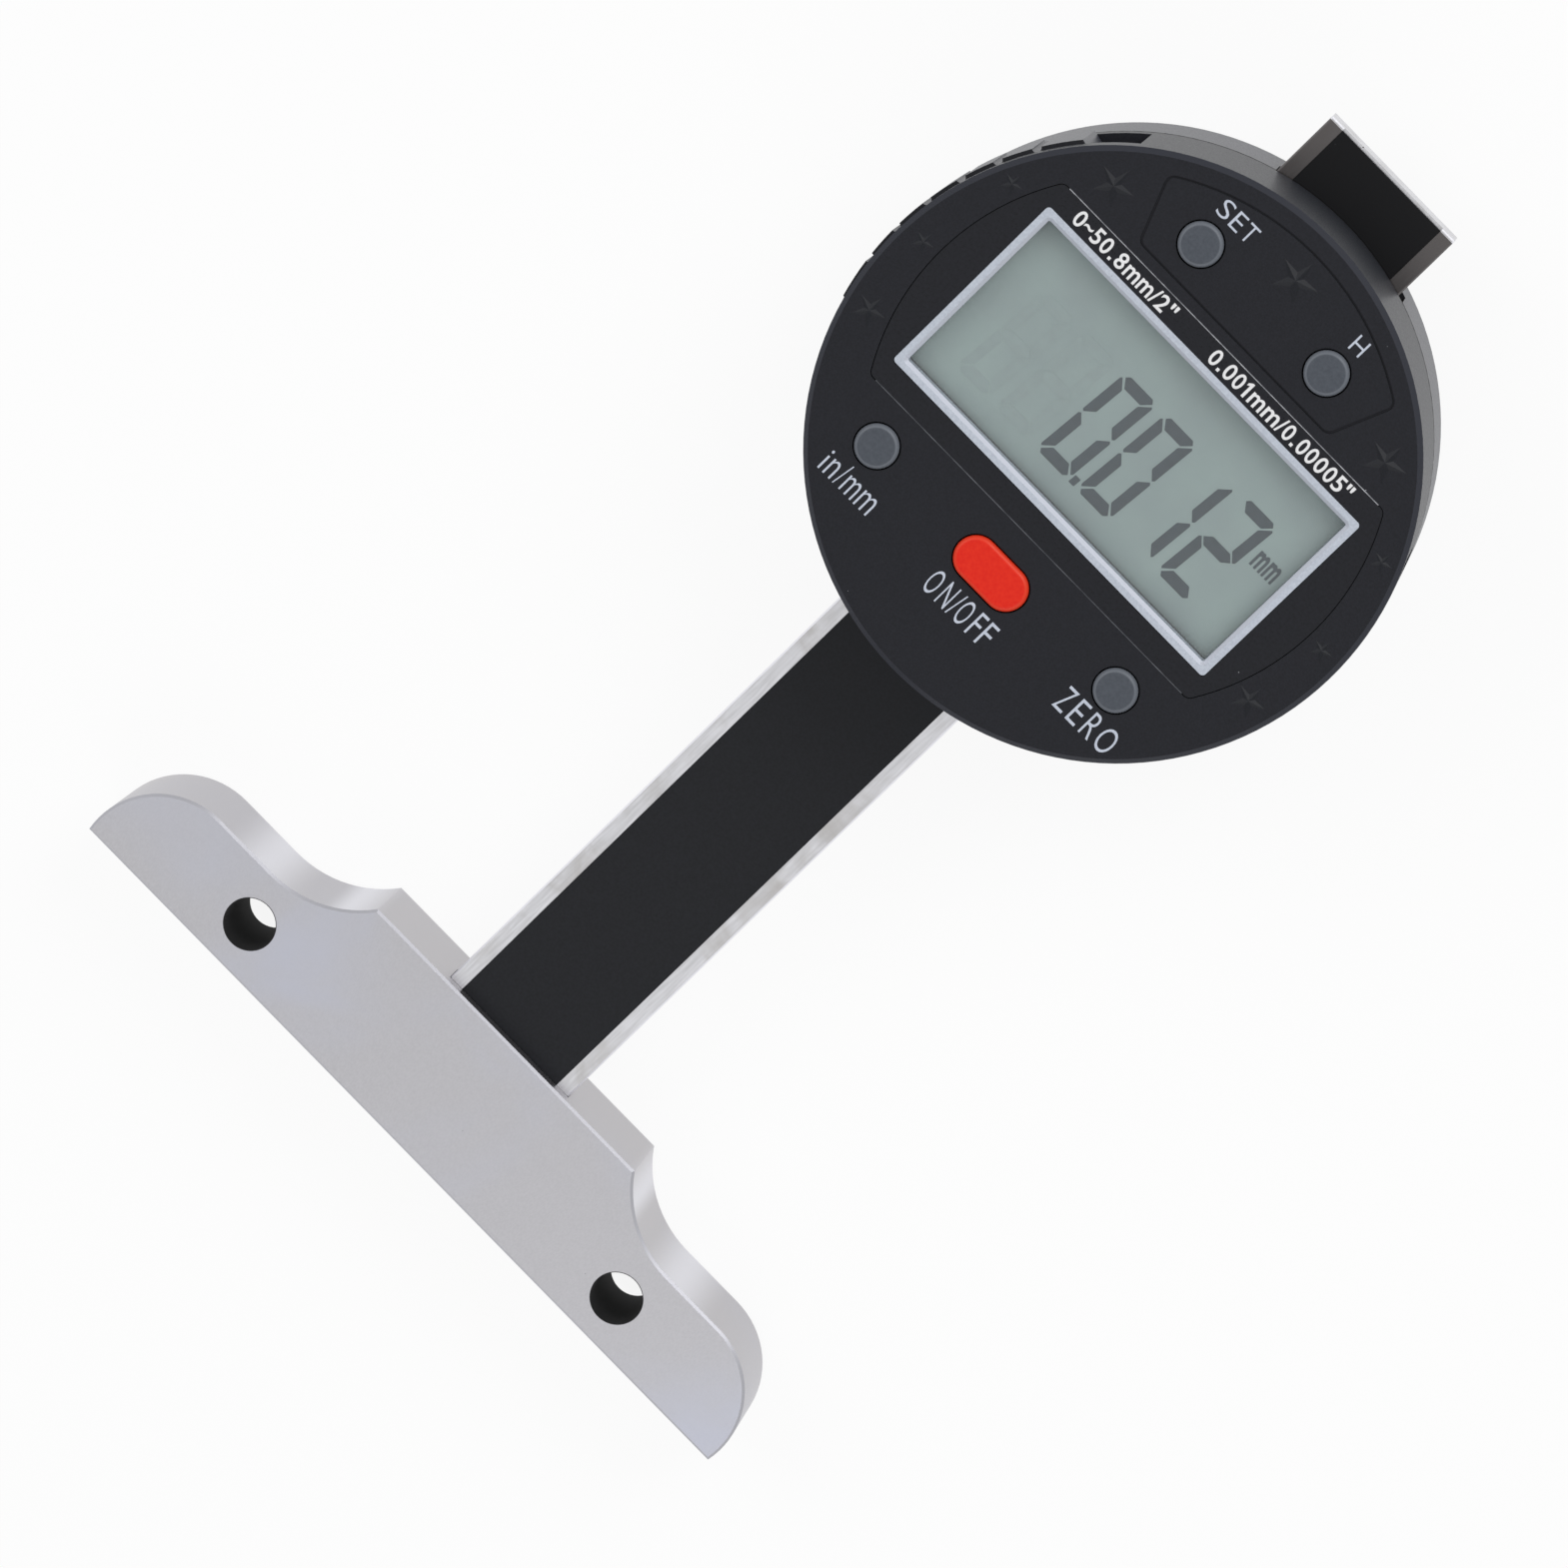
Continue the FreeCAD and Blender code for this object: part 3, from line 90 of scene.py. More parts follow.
def rangeNode(tree, value, fromMin, fromMax, toMin=0.0, toMax=1.0, soft=False):
    # carries a value over from one range to another and keeps it inside that one
    node = tree.nodes.new("ShaderNodeMapRange")
    node.interpolation_type = "SMOOTHSTEP" if soft else "LINEAR"
    labels = ("Value", "From Min", "From Max", "To Min", "To Max")
    for label, number in zip(labels, (value, fromMin, fromMax, toMin, toMax)):
        feed(tree, node.inputs[label], number)
    return node.outputs["Result"]


def noiseNode(tree, where, detail, scale=1.0, distortion=0.0):
    noise = tree.nodes.new("ShaderNodeTexNoise")
    tree.links.new(where, noise.inputs["Vector"])
    noise.inputs["Scale"].default_value = scale
    noise.inputs["Detail"].default_value = detail
    noise.inputs["Distortion"].default_value = distortion
    return noise.outputs["Fac"]


def mixColour(tree, share, first, second):
    mix = tree.nodes.new("ShaderNodeMix")
    mix.data_type = "RGBA"
    sockets = {socket.identifier: socket for socket in (*mix.inputs, *mix.outputs)}
    feed(tree, sockets["Factor_Float"], share)
    feed(tree, sockets["A_Color"], first)
    feed(tree, sockets["B_Color"], second)
    return sockets["Result_Color"]


# Camera and light, set as for a catalogue picture: the gauge lies on a pale table

gaugeMiddle = Vector((0, 0.07, 0))
pictureSetup = {
    # where the camera stands, in metres, and which way its right, its foot and its view point
    "place": (-0.010798, 0.210174, 0.654626),
    "right": (0.6991029, 0.69747808, -0.15741495),
    "down": (0.71480745, -0.67636554, 0.17770754),
    "forward": (0.01747707, -0.23675723, -0.97141163),
    "lens": 163.454,
    "sensor": 36.0,
    "near": 0.01,
    "far": 20,
    # the table lies this far under the gauge, in mm, and reaches this far each way, in metres
    "tableGap": 0.2,
    "tableReach": 3.0,
    "tableCells": 8,
    "tableColour": (0.92, 0.92, 0.92, 1),
    # how much of what is seen of the table is white, and how bright the room is where it isn't seen
    "tableWhiteness": 0.9,
    "roomLight": 0.62,
}


def setCamera(look):
    camera = bpy.data.cameras.new("camera")
    camera.lens = look["lens"]
    camera.sensor_width = look["sensor"]
    camera.sensor_fit = "HORIZONTAL"
    camera.clip_start = look["near"]
    camera.clip_end = look["far"]
    holder = bpy.data.objects.new("camera", camera)
    right, down, forward = (Vector(look[way]) for way in ("right", "down", "forward"))
    turn = Matrix((right, -down, -forward)).transposed()
    holder.matrix_world = Matrix.Translation(look["place"]) @ turn.to_4x4()
    bpy.context.scene.collection.objects.link(holder)
    bpy.context.scene.camera = holder


lamps = {
    # name: place and size in metres, power in watts; each looks at the middle of the gauge
    "skyLamp": ((0.10, 0.75, 0.55), 0.55, 2.6),
    "sideLamp": ((-0.65, 0.05, 0.60), 0.60, 1.4),
    "frontLamp": ((0.45, -0.40, 0.65), 0.60, 1.1),
}


def setLamps(lamps):
    for name, (place, size, power) in lamps.items():
        light = bpy.data.lights.new(name, "AREA")
        light.shape = "DISK"
        light.size = size
        light.energy = power
        holder = bpy.data.objects.new(name, light)
        holder.location = place
        holder.rotation_euler = (gaugeMiddle - Vector(place)).to_track_quat("-Z", "Y").to_euler()
        bpy.context.scene.collection.objects.link(holder)


def seenRays(tree):
    # 1 for what the camera, a gloss or a clear piece sees, 0 for what lights the gauge
    rays = tree.nodes.new("ShaderNodeLightPath")
    seen = rays.outputs["Is Camera Ray"]
    for kind in ("Is Glossy Ray", "Is Transmission Ray"):
        seen = mathNode(tree, "MAXIMUM", seen, rays.outputs[kind])
    return seen


def setRoom(look):
    world = bpy.data.worlds.new("room")
    world.use_nodes = True
    tree = world.node_tree
    tree.nodes.clear()
    out = tree.nodes.new("ShaderNodeOutputWorld")
    back = tree.nodes.new("ShaderNodeBackground")
    strength = rangeNode(tree, seenRays(tree), 0.0, 1.0, look["roomLight"], 1.0)
    tree.links.new(strength, back.inputs["Strength"])
    tree.links.new(back.outputs["Background"], out.inputs["Surface"])
    bpy.context.scene.world = world


def tableMaterial(look):
    # the table takes the gauge's shadow, and is seen nearly white
    material = bpy.data.materials.new("paleTable")
    material.use_nodes = True
    tree = material.node_tree
    tree.nodes.clear()
    out = tree.nodes.new("ShaderNodeOutputMaterial")
    surface = tree.nodes.new("ShaderNodeBsdfDiffuse")
    surface.inputs["Color"].default_value = look["tableColour"]
    glow = tree.nodes.new("ShaderNodeEmission")
    mix = tree.nodes.new("ShaderNodeMixShader")
    tree.links.new(mathNode(tree, "MULTIPLY", seenRays(tree), look["tableWhiteness"]), mix.inputs["Fac"])
    tree.links.new(surface.outputs["BSDF"], mix.inputs[1])
    tree.links.new(glow.outputs["Emission"], mix.inputs[2])
    tree.links.new(mix.outputs["Shader"], out.inputs["Surface"])
    return material


def setTable(look):
    mesh = bpy.data.meshes.new("table")
    form = bmesh.new()
    cells = look["tableCells"]
    bmesh.ops.create_grid(form, x_segments=cells, y_segments=cells, size=look["tableReach"])
    form.to_mesh(mesh)
    form.free()
    mesh.materials.append(tableMaterial(look))
    table = bpy.data.objects.new("table", mesh)
    table.location = (0, gaugeMiddle.y, (backLevel - look["tableGap"]) * mm)
    bpy.context.scene.collection.objects.link(table)


setCamera(pictureSetup)
setLamps(lamps)
setRoom(pictureSetup)
setTable(pictureSetup)
bpy.context.scene.view_settings.view_transform = "Standard"
print("camera, lamps and table set")


# Effects that several finishes share

placeInputs = {"Place": (0.0, 0.0, 0.0), "Stretch": (1.0, 1.0, 1.0)}


def newEffect(name, inputs, outputs):
    effect = bpy.data.node_groups.new(name, "ShaderNodeTree")
    for label, value in inputs.items():
        kind = "NodeSocketVector" if isinstance(value, tuple) else "NodeSocketFloat"
        socket = effect.interface.new_socket(label, in_out="INPUT", socket_type=kind)
        socket.default_value = value
    for label in outputs:
        effect.interface.new_socket(label, in_out="OUTPUT", socket_type="NodeSocketFloat")
    start = effect.nodes.new("NodeGroupInput")
    end = effect.nodes.new("NodeGroupOutput")
    return effect, start, end


def scaledPlace(tree, start):
    # place in metres, drawn out by Stretch and counted in grains of Size mm
    drawn = tree.nodes.new("ShaderNodeVectorMath")
    drawn.operation = "MULTIPLY"
    tree.links.new(start.outputs["Place"], drawn.inputs[0])
    tree.links.new(start.outputs["Stretch"], drawn.inputs[1])
    counted = tree.nodes.new("ShaderNodeVectorMath")
    counted.operation = "SCALE"
    tree.links.new(drawn.outputs["Vector"], counted.inputs[0])
    tree.links.new(mathNode(tree, "DIVIDE", 1 / mm, start.outputs["Size"]), counted.inputs["Scale"])
    return counted.outputs["Vector"]


grainLook = {
    "detail": 3.0, "fineScale": 3.1, "fineDetail": 2.0, "fineShare": 0.5,
    "low": 0.3, "high": 0.7,    # where most of the tone lies
}


def makeGrain(look):
    # a coarse noise gives the tone, and a fine one is added to it for the height
    effect, start, end = newEffect("surfaceGrain", {**placeInputs, "Size": 1.0}, ("Tone", "Height"))
    where = scaledPlace(effect, start)
    coarse = noiseNode(effect, where, look["detail"])
    fine = noiseNode(effect, where, look["fineDetail"], scale=look["fineScale"])
    fine = mathNode(effect, "MULTIPLY", fine, look["fineShare"])
    height = mathNode(effect, "MULTIPLY_ADD", coarse, 1 - look["fineShare"], fine)
    effect.links.new(coarse, end.inputs["Tone"])
    effect.links.new(height, end.inputs["Height"])
    return effect


# a stain starts where the noise passes a limit: clean where Cover is 0, and lower by the span where it is 1
stainLook = {"detail": 4.0, "distortion": 0.6, "clean": 0.8, "span": 0.6}


def makeStain(look):
    inputs = {**placeInputs, "Size": 8.0, "Cover": 0.4, "Softness": 0.15}
    effect, start, end = newEffect("softStain", inputs, ("Mask",))
    patch = noiseNode(effect, scaledPlace(effect, start), look["detail"], distortion=look["distortion"])
    covered = mathNode(effect, "MULTIPLY", start.outputs["Cover"], look["span"])
    limit = mathNode(effect, "SUBTRACT", look["clean"], covered)
    top = mathNode(effect, "ADD", limit, start.outputs["Softness"])
    effect.links.new(rangeNode(effect, patch, limit, top, soft=True), end.inputs["Mask"])
    return effect


def makeDust():
    # specks of Speck mm in some of the cells of Size mm
    inputs = {**placeInputs, "Size": 1.5, "Speck": 0.08, "Share": 0.2}
    effect, start, end = newEffect("dustSpecks", inputs, ("Mask",))
    cells = effect.nodes.new("ShaderNodeTexVoronoi")
    effect.links.new(scaledPlace(effect, start), cells.inputs["Vector"])
    cells.inputs["Scale"].default_value = 1.0
    reach = mathNode(effect, "DIVIDE", start.outputs["Speck"], start.outputs["Size"])
    near = mathNode(effect, "LESS_THAN", cells.outputs["Distance"], reach)
    split = effect.nodes.new("ShaderNodeSeparateColor")
    effect.links.new(cells.outputs["Color"], split.inputs["Color"])
    chosen = mathNode(effect, "LESS_THAN", split.outputs["Red"], start.outputs["Share"])
    effect.links.new(mathNode(effect, "MULTIPLY", near, chosen), end.inputs["Mask"])
    return effect


# how level a surface is, from 0 upright to 1 flat, where it starts and ends being one or the other
edgeSlopes = {"flat": (0.90, 0.985), "upright": (0.05, 0.25)}


def makeEdgeLight(look):
    # for a piece that lies flat: Edge is 1 on bevels and rounded edges, Side is 1 on upright walls; these
    # are the masks where finishes paint edge highlights and wall sheen
    effect, start, end = newEffect("edgeLight", {"Facing": (0.0, 0.0, 1.0)}, ("Edge", "Side"))
    split = effect.nodes.new("ShaderNodeSeparateXYZ")
    effect.links.new(start.outputs["Facing"], split.inputs["Vector"])
    level = mathNode(effect, "ABSOLUTE", split.outputs["Z"])
    tilted = rangeNode(effect, level, *look["flat"], 1.0, 0.0)
    standing = rangeNode(effect, level, *look["upright"], 1.0, 0.0)
    effect.links.new(standing, end.inputs["Side"])
    effect.links.new(mathNode(effect, "SUBTRACT", tilted, standing), end.inputs["Edge"])
    return effect


surfaceGrain = makeGrain(grainLook)
softStain = makeStain(stainLook)
dustSpecks = makeDust()
edgeLight = makeEdgeLight(edgeSlopes)


def putEffect(tree, effect, source="Object", into="Place", **values):
    # the source is the coordinate that the effect reads
    node = tree.nodes.new("ShaderNodeGroup")
    node.node_tree = effect
    place = tree.nodes.new("ShaderNodeTexCoord")
    tree.links.new(place.outputs[source], node.inputs[into])
    for label, value in values.items():
        node.inputs[label].default_value = value
    return node


# what a finish is where its own look doesn't say otherwise
plainLook = {
    "stretch": (1, 1, 1), "metal": 0.0, "specular": 0.5, "alpha": 1.0, "reliefStrength": 0.6,
    "dustRough": 0.8,
}


def newFinish(name, look):
    # two tones that the grain mixes, stains, dust, and roughness and relief from the grain; sizes in mm
    look = {**plainLook, **look}
    material = bpy.data.materials.new(name)
    material.use_nodes = True
    tree = material.node_tree
    tree.nodes.clear()
    out = tree.nodes.new("ShaderNodeOutputMaterial")
    shader = tree.nodes.new("ShaderNodeBsdfPrincipled")
    tree.links.new(shader.outputs["BSDF"], out.inputs["Surface"])
    grain = putEffect(tree, surfaceGrain, Size=look["grain"], Stretch=look["stretch"])
    low, high = grainLook["low"], grainLook["high"]
    tone = rangeNode(tree, grain.outputs["Tone"], low, high)
    colour = mixColour(tree, tone, look["dark"], look["light"])
    rough = rangeNode(tree, grain.outputs["Tone"], low, high, *look["rough"])
    if "stain" in look:
        stain = putEffect(tree, softStain, Size=look["stainSize"], Cover=look["stainCover"],
                          Softness=look["stainSoft"])
        colour = mixColour(tree, stain.outputs["Mask"], colour, look["stain"])
        rough = mathNode(tree, "MULTIPLY_ADD", stain.outputs["Mask"], look["stainRough"], rough)
    if "dust" in look:
        dust = putEffect(tree, dustSpecks, Size=look["dustGap"], Speck=look["dustSize"],
                         Share=look["dustShare"])
        colour = mixColour(tree, dust.outputs["Mask"], colour, look["dust"])
        dusty = mathNode(tree, "MULTIPLY", dust.outputs["Mask"], look["dustRough"])
        rough = mathNode(tree, "MAXIMUM", rough, dusty)
    # painted highlight on bevels and rounded edges, and painted shade where the edge colour is darker than
    # the piece
    if "edge" in look:
        edge = putEffect(tree, edgeLight, "Normal", "Facing").outputs["Edge"]
        colour = mixColour(tree, edge, colour, look["edge"])
    # painted sheen: upright walls are coloured lighter, as if catching the light; the coat on them is a real
    # gloss
    if "side" in look:
        side = putEffect(tree, edgeLight, "Normal", "Facing").outputs["Side"]
        colour = mixColour(tree, side, colour, look["side"])
        coat = mathNode(tree, "MULTIPLY", side, look["sideCoat"])
        tree.links.new(coat, shader.inputs["Coat Weight"])
        shader.inputs["Coat Roughness"].default_value = look["coatRough"]
    tree.links.new(colour, shader.inputs["Base Color"])
    tree.links.new(rough, shader.inputs["Roughness"])
    relief = tree.nodes.new("ShaderNodeBump")
    relief.inputs["Strength"].default_value = look["reliefStrength"]
    relief.inputs["Distance"].default_value = look["relief"] * mm
    tree.links.new(grain.outputs["Height"], relief.inputs["Height"])
    tree.links.new(relief.outputs["Normal"], shader.inputs["Normal"])
    shader.inputs["Metallic"].default_value = look["metal"]
    shader.inputs["Specular IOR Level"].default_value = look["specular"]
    shader.inputs["Alpha"].default_value = look["alpha"]
    return material


# Finishes

# the edge colour of a finish is a painted highlight on its bevels; on the ground steel it is darker, a
# painted shade
finishes = {
    "groundSteel": {
        "dark": paint(189, 188, 192), "light": paint(196, 195, 199), "grain": 0.14,
        "stretch": (1.0, 0.5, 1.0), "rough": (0.34, 0.40), "relief": 0.002, "metal": 1.0,
        "edge": paint(180, 180, 186),
        "stain": paint(193, 195, 207), "stainSize": 24.0, "stainCover": 0.62, "stainSoft": 0.35,
        "stainRough": 0.02,
        "dust": paint(150, 150, 156), "dustGap": 3.0, "dustSize": 0.05, "dustShare": 0.15,
    },
    "stainlessSteel": {
        "dark": paint(206, 206, 209), "light": paint(222, 222, 226), "grain": 0.5,
        "stretch": (2.2, 0.16, 1.0), "rough": (0.30, 0.42), "relief": 0.003, "metal": 1.0,
        "edge": paint(236, 236, 242),
        "stain": paint(186, 184, 183), "stainSize": 5.0, "stainCover": 0.55, "stainSoft": 0.32,
        "stainRough": 0.06,
        "dust": paint(112, 109, 107), "dustGap": 2.0, "dustSize": 0.09, "dustShare": 0.25,
    },
    "scaleFilm": {
        "dark": paint(27, 28, 31), "light": paint(34, 35, 39), "grain": 0.25, "rough": (0.50, 0.62),
        "relief": 0.003, "specular": 0.18,
        "dust": paint(140, 142, 148), "dustGap": 3.0, "dustSize": 0.06, "dustShare": 0.35,
    },
    # the side colours of the two plastics are a painted sheen on their upright walls
    "blackPlastic": {
        "dark": paint(25, 26, 31), "light": paint(33, 34, 40), "grain": 0.16, "rough": (0.42, 0.54),
        "relief": 0.006, "specular": 0.2, "edge": paint(46, 48, 56), "sideCoat": 0.1, "coatRough": 0.2,
        "side": paint(44, 46, 51),
        "dust": paint(150, 152, 158), "dustGap": 2.0, "dustSize": 0.06, "dustShare": 0.4,
    },
    "casePlastic": {
        "dark": paint(27, 28, 32), "light": paint(36, 37, 42), "grain": 0.18, "rough": (0.40, 0.5),
        "relief": 0.006, "specular": 0.25, "edge": paint(68, 71, 80), "sideCoat": 0.19, "coatRough": 0.2,
        "side": paint(60, 62, 70),
        "dust": paint(150, 152, 158), "dustGap": 2.0, "dustSize": 0.06, "dustShare": 0.4,
    },
    "starPlastic": {
        "dark": paint(22, 24, 29), "light": paint(30, 32, 38), "grain": 0.16, "rough": (0.36, 0.44),
        "relief": 0.004, "specular": 0.2,
        "dust": paint(130, 132, 138), "dustGap": 1.2, "dustSize": 0.05, "dustShare": 0.2,
    },
    "windowBlack": {
        "dark": paint(22, 23, 28), "light": paint(28, 29, 35), "grain": 0.3, "rough": (0.26, 0.34),
        "relief": 0.002, "specular": 0.24, "edge": paint(70, 72, 78),
        "dust": paint(140, 142, 148), "dustGap": 2.4, "dustSize": 0.055, "dustShare": 0.3,
    },
    # painted highlights for the window's top and lower edges
    "rimHighlight": {
        "dark": paint(132, 134, 140), "light": paint(228, 230, 236), "grain": 1.1, "rough": (0.25, 0.4),
        "relief": 0.002, "specular": 0.5,
    },
    "dimRimHighlight": {
        "dark": paint(62, 64, 70), "light": paint(104, 106, 112), "grain": 1.3, "rough": (0.3, 0.45),
        "relief": 0.002, "specular": 0.4,
    },
    "silverTrim": {
        "dark": paint(184, 191, 203), "light": paint(199, 206, 217), "grain": 0.2, "rough": (0.38, 0.48),
        "relief": 0.003, "metal": 0.35, "specular": 0.4, "edge": paint(206, 210, 221),
        "dust": paint(150, 154, 165), "dustGap": 2.0, "dustSize": 0.06, "dustShare": 0.2,
    },
    "clearPane": {
        "dark": (0.93, 0.97, 0.96, 1), "light": (0.97, 0.99, 0.98, 1), "grain": 4.0, "rough": (0.04, 0.07),
        "relief": 0.001, "alpha": 0.06, "specular": 0.3,
    },
    "litSegment": {
        "dark": paint(32, 46, 56), "light": paint(41, 55, 65), "grain": 0.8, "rough": (0.5, 0.6),
        "relief": 0.001, "specular": 0.15,
    },
    "unlitSegment": {
        "dark": paint(134, 149, 149), "light": paint(138, 155, 154), "grain": 1.2, "rough": (0.5, 0.6),
        "relief": 0.001, "specular": 0.15,
    },
    "greyRubber": {
        "dark": paint(96, 97, 100), "light": paint(112, 113, 116), "grain": 0.3, "rough": (0.6, 0.75),
        "relief": 0.006, "specular": 0.25,
    },
    "boardGreen": {
        "dark": paint(18, 84, 48), "light": paint(26, 104, 60), "grain": 0.5, "rough": (0.28, 0.4),
        "relief": 0.008, "specular": 0.4,
    },
    "plugPlastic": {
        "dark": paint(58, 58, 61), "light": paint(70, 70, 74), "grain": 0.2, "rough": (0.45, 0.55),
        "relief": 0.005, "specular": 0.3,
    },
    "contactMetal": {
        "dark": paint(205, 200, 186), "light": paint(224, 220, 208), "grain": 0.4,
        "stretch": (0.2, 1.0, 1.0), "rough": (0.2, 0.32), "relief": 0.003, "metal": 1.0,
    },
    "cellSteel": {
        "dark": paint(205, 206, 209), "light": paint(223, 224, 227), "grain": 0.5,
        "stretch": (1.0, 0.15, 1.0), "rough": (0.18, 0.3), "relief": 0.003, "metal": 1.0,
    },
    "screwSteel": {
        "dark": paint(150, 150, 152), "light": paint(180, 180, 183), "grain": 0.25, "rough": (0.26, 0.4),
        "relief": 0.006, "metal": 1.0,
        "stain": paint(112, 110, 108), "stainSize": 1.2, "stainCover": 0.35, "stainSoft": 0.15,
        "stainRough": 0.08,
    },
    "rodSteel": {
        "dark": paint(205, 205, 208), "light": paint(225, 225, 228), "grain": 0.4,
        "stretch": (1.0, 0.1, 1.0), "rough": (0.14, 0.22), "relief": 0.002, "metal": 1.0,
    },
    "bronze": {
        "dark": paint(172, 138, 82), "light": paint(196, 162, 104), "grain": 0.3,
        "stretch": (1.0, 0.3, 1.0), "rough": (0.26, 0.38), "relief": 0.004, "metal": 1.0,
        "stain": paint(140, 108, 64), "stainSize": 2.5, "stainCover": 0.4, "stainSoft": 0.15,
        "stainRough": 0.08,
    },
    "greyKey": {
        "dark": paint(72, 77, 85), "light": paint(80, 85, 93), "grain": 0.3, "rough": (0.36, 0.46),
        "relief": 0.004, "specular": 0.3, "edge": paint(108, 113, 121),
        "dust": paint(140, 144, 150), "dustGap": 1.4, "dustSize": 0.05, "dustShare": 0.2,
    },
    "redKey": {
        "dark": paint(226, 30, 8), "light": paint(234, 42, 16), "grain": 0.3, "rough": (0.36, 0.46),
        "relief": 0.004, "specular": 0.3, "edge": paint(238, 62, 34),
        "dust": paint(240, 150, 130), "dustGap": 1.6, "dustSize": 0.06, "dustShare": 0.3,
    },
    "printedInk": {
        "dark": paint(190, 197, 212), "light": paint(210, 217, 230), "grain": 0.15, "rough": (0.5, 0.62),
        "relief": 0.004, "specular": 0.2,
    },
    "whiteInk": {
        "dark": paint(230, 230, 232), "light": paint(246, 246, 247), "grain": 0.15, "rough": (0.5, 0.62),
        "relief": 0.004, "specular": 0.2,
    },
}
materials = {name: newFinish(name, look) for name, look in finishes.items()}
print("finishes made:", len(materials))


# Finishes that change from place to place on their piece

def fade(tree, value, start, end):
    # 0 at start, 1 at end, soft in between
    return rangeNode(tree, value, start, end, soft=True)


def placeInMm(tree, axes):
    # how far a point lies along each of the axes
    place = tree.nodes.new("ShaderNodeTexCoord")
    split = tree.nodes.new("ShaderNodeSeparateXYZ")
    tree.links.new(place.outputs["Object"], split.inputs["Vector"])
    return [mathNode(tree, "MULTIPLY", split.outputs[axis], 1 / mm) for axis in axes]


def shaderOf(material):
    tree = material.node_tree
    return tree, next(node for node in tree.nodes if node.type == "BSDF_PRINCIPLED")


def layOver(tree, shader, share, colour):
    # mixes a colour over the one that reaches the shader so far
    soFar = shader.inputs["Base Color"].links[0].from_socket
    tree.links.new(mixColour(tree, share, soFar, colour), shader.inputs["Base Color"])


displayLook = {
    "dark": paint(134, 150, 150), "light": paint(141, 159, 157), "grain": 6.0, "rough": (0.42, 0.5),
    "relief": 0.001, "specular": 0.2,
    # painted shade at the foot and at the two ends of the window, where the frame around the recessed glass
    # shades it, in mm from the head's centre
    "paintedShade": paint(94, 104, 105), "foot": -7.3, "end": 20.0, "footFade": 0.9, "endFade": 0.7, "beyond": 0.7,
}


def makeDisplayGlass(look):
    # grey green, with painted shade that darkens it towards the ends and the foot of its window, where the
    # frame around the recess shades it
    material = newFinish("displayGlass", look)
    tree, shader = shaderOf(material)
    across, along = placeInMm(tree, "XY")
    along = mathNode(tree, "SUBTRACT", along, headCentre.y)
    across = mathNode(tree, "ABSOLUTE", across)
    foot = fade(tree, along, look["foot"] + look["footFade"], look["foot"] - look["beyond"])
    end = fade(tree, across, look["end"] - look["endFade"], look["end"] + look["beyond"])
    layOver(tree, shader, mathNode(tree, "MAXIMUM", foot, end), look["paintedShade"])
    return material


boreShadeLook = {"centre": (25.0, 4.85), "radius": 2.62, "colour": paint(14, 14, 16), "rough": 0.9}


def paintBoreShade(material, look):
    # painted shade: the two extension holes of the base are coloured black and dull inside, where the shade
    # in them falls
    tree, shader = shaderOf(material)
    across, along = placeInMm(tree, "XY")
    sideways = mathNode(tree, "SUBTRACT", mathNode(tree, "ABSOLUTE", across), look["centre"][0])
    lengthways = mathNode(tree, "SUBTRACT", along, look["centre"][1])
    square = mathNode(tree, "MULTIPLY", lengthways, lengthways)
    square = mathNode(tree, "MULTIPLY_ADD", sideways, sideways, square)
    bore = mathNode(tree, "LESS_THAN", square, look["radius"] ** 2)
    layOver(tree, shader, bore, look["colour"])
    tree.links.new(mathNode(tree, "SUBTRACT", 1.0, bore), shader.inputs["Metallic"])
    rough = shader.inputs["Roughness"].links[0].from_socket
    dull = mathNode(tree, "MULTIPLY", bore, look["rough"])
    tree.links.new(mathNode(tree, "MAXIMUM", rough, dull), shader.inputs["Roughness"])


wallGlintLook = {
    # start, middle and end of the bands where painted highlights brighten the curved walls, in mm from the
    # base's middle; the rest of the walls gets a duller painted shade
    "bands": [(16.5, 19.5, 21.5), (23.0, 28.0, 33.0)], "bright": paint(226, 226, 232), "brightShare": 0.8,
    "dull": paint(181, 178, 180), "dullShare": 0.6,
}


def paintWallGlintsAndShade(material, look):
    # painted highlights where the walls of the base catch the light in their curves, and painted shade that
    # makes them duller between
    tree, shader = shaderOf(material)
    across = mathNode(tree, "ABSOLUTE", placeInMm(tree, "X")[0])
    bands = []
    for start, middle, end in look["bands"]:
        rising = fade(tree, across, start, middle)
        bands.append(mathNode(tree, "MINIMUM", rising, fade(tree, across, end, middle)))
    bright = mathNode(tree, "MAXIMUM", *bands)
    wall = putEffect(tree, edgeLight, "Normal", "Facing").outputs["Side"]
    layOver(tree, shader, mathNode(tree, "MULTIPLY", wall, look["dullShare"]), look["dull"])
    bright = mathNode(tree, "MULTIPLY", wall, bright)
    layOver(tree, shader, mathNode(tree, "MULTIPLY", bright, look["brightShare"]), look["bright"])


# painted shade beyond the head, in mm from the measuring face; the last is where the end faces begin, which
# stay bright
farEndShadeLook = {"start": 116.0, "end": 124.0, "last": stripEnd, "colour": paint(92, 88, 87), "share": 0.95}
farFilmShadeLook = {**farEndShadeLook, "colour": paint(15, 15, 17), "share": 0.9}


def paintFarEndShade(material, look):
    # painted shade: beyond the head the beam's margins are duller and the scale film is darker
    tree, shader = shaderOf(material)
    along = placeInMm(tree, "Y")[0]
    far = mathNode(tree, "MULTIPLY", fade(tree, along, look["start"], look["end"]), look["share"])
    far = mathNode(tree, "MULTIPLY", far, mathNode(tree, "LESS_THAN", along, look["last"]))
    layOver(tree, shader, far, look["colour"])


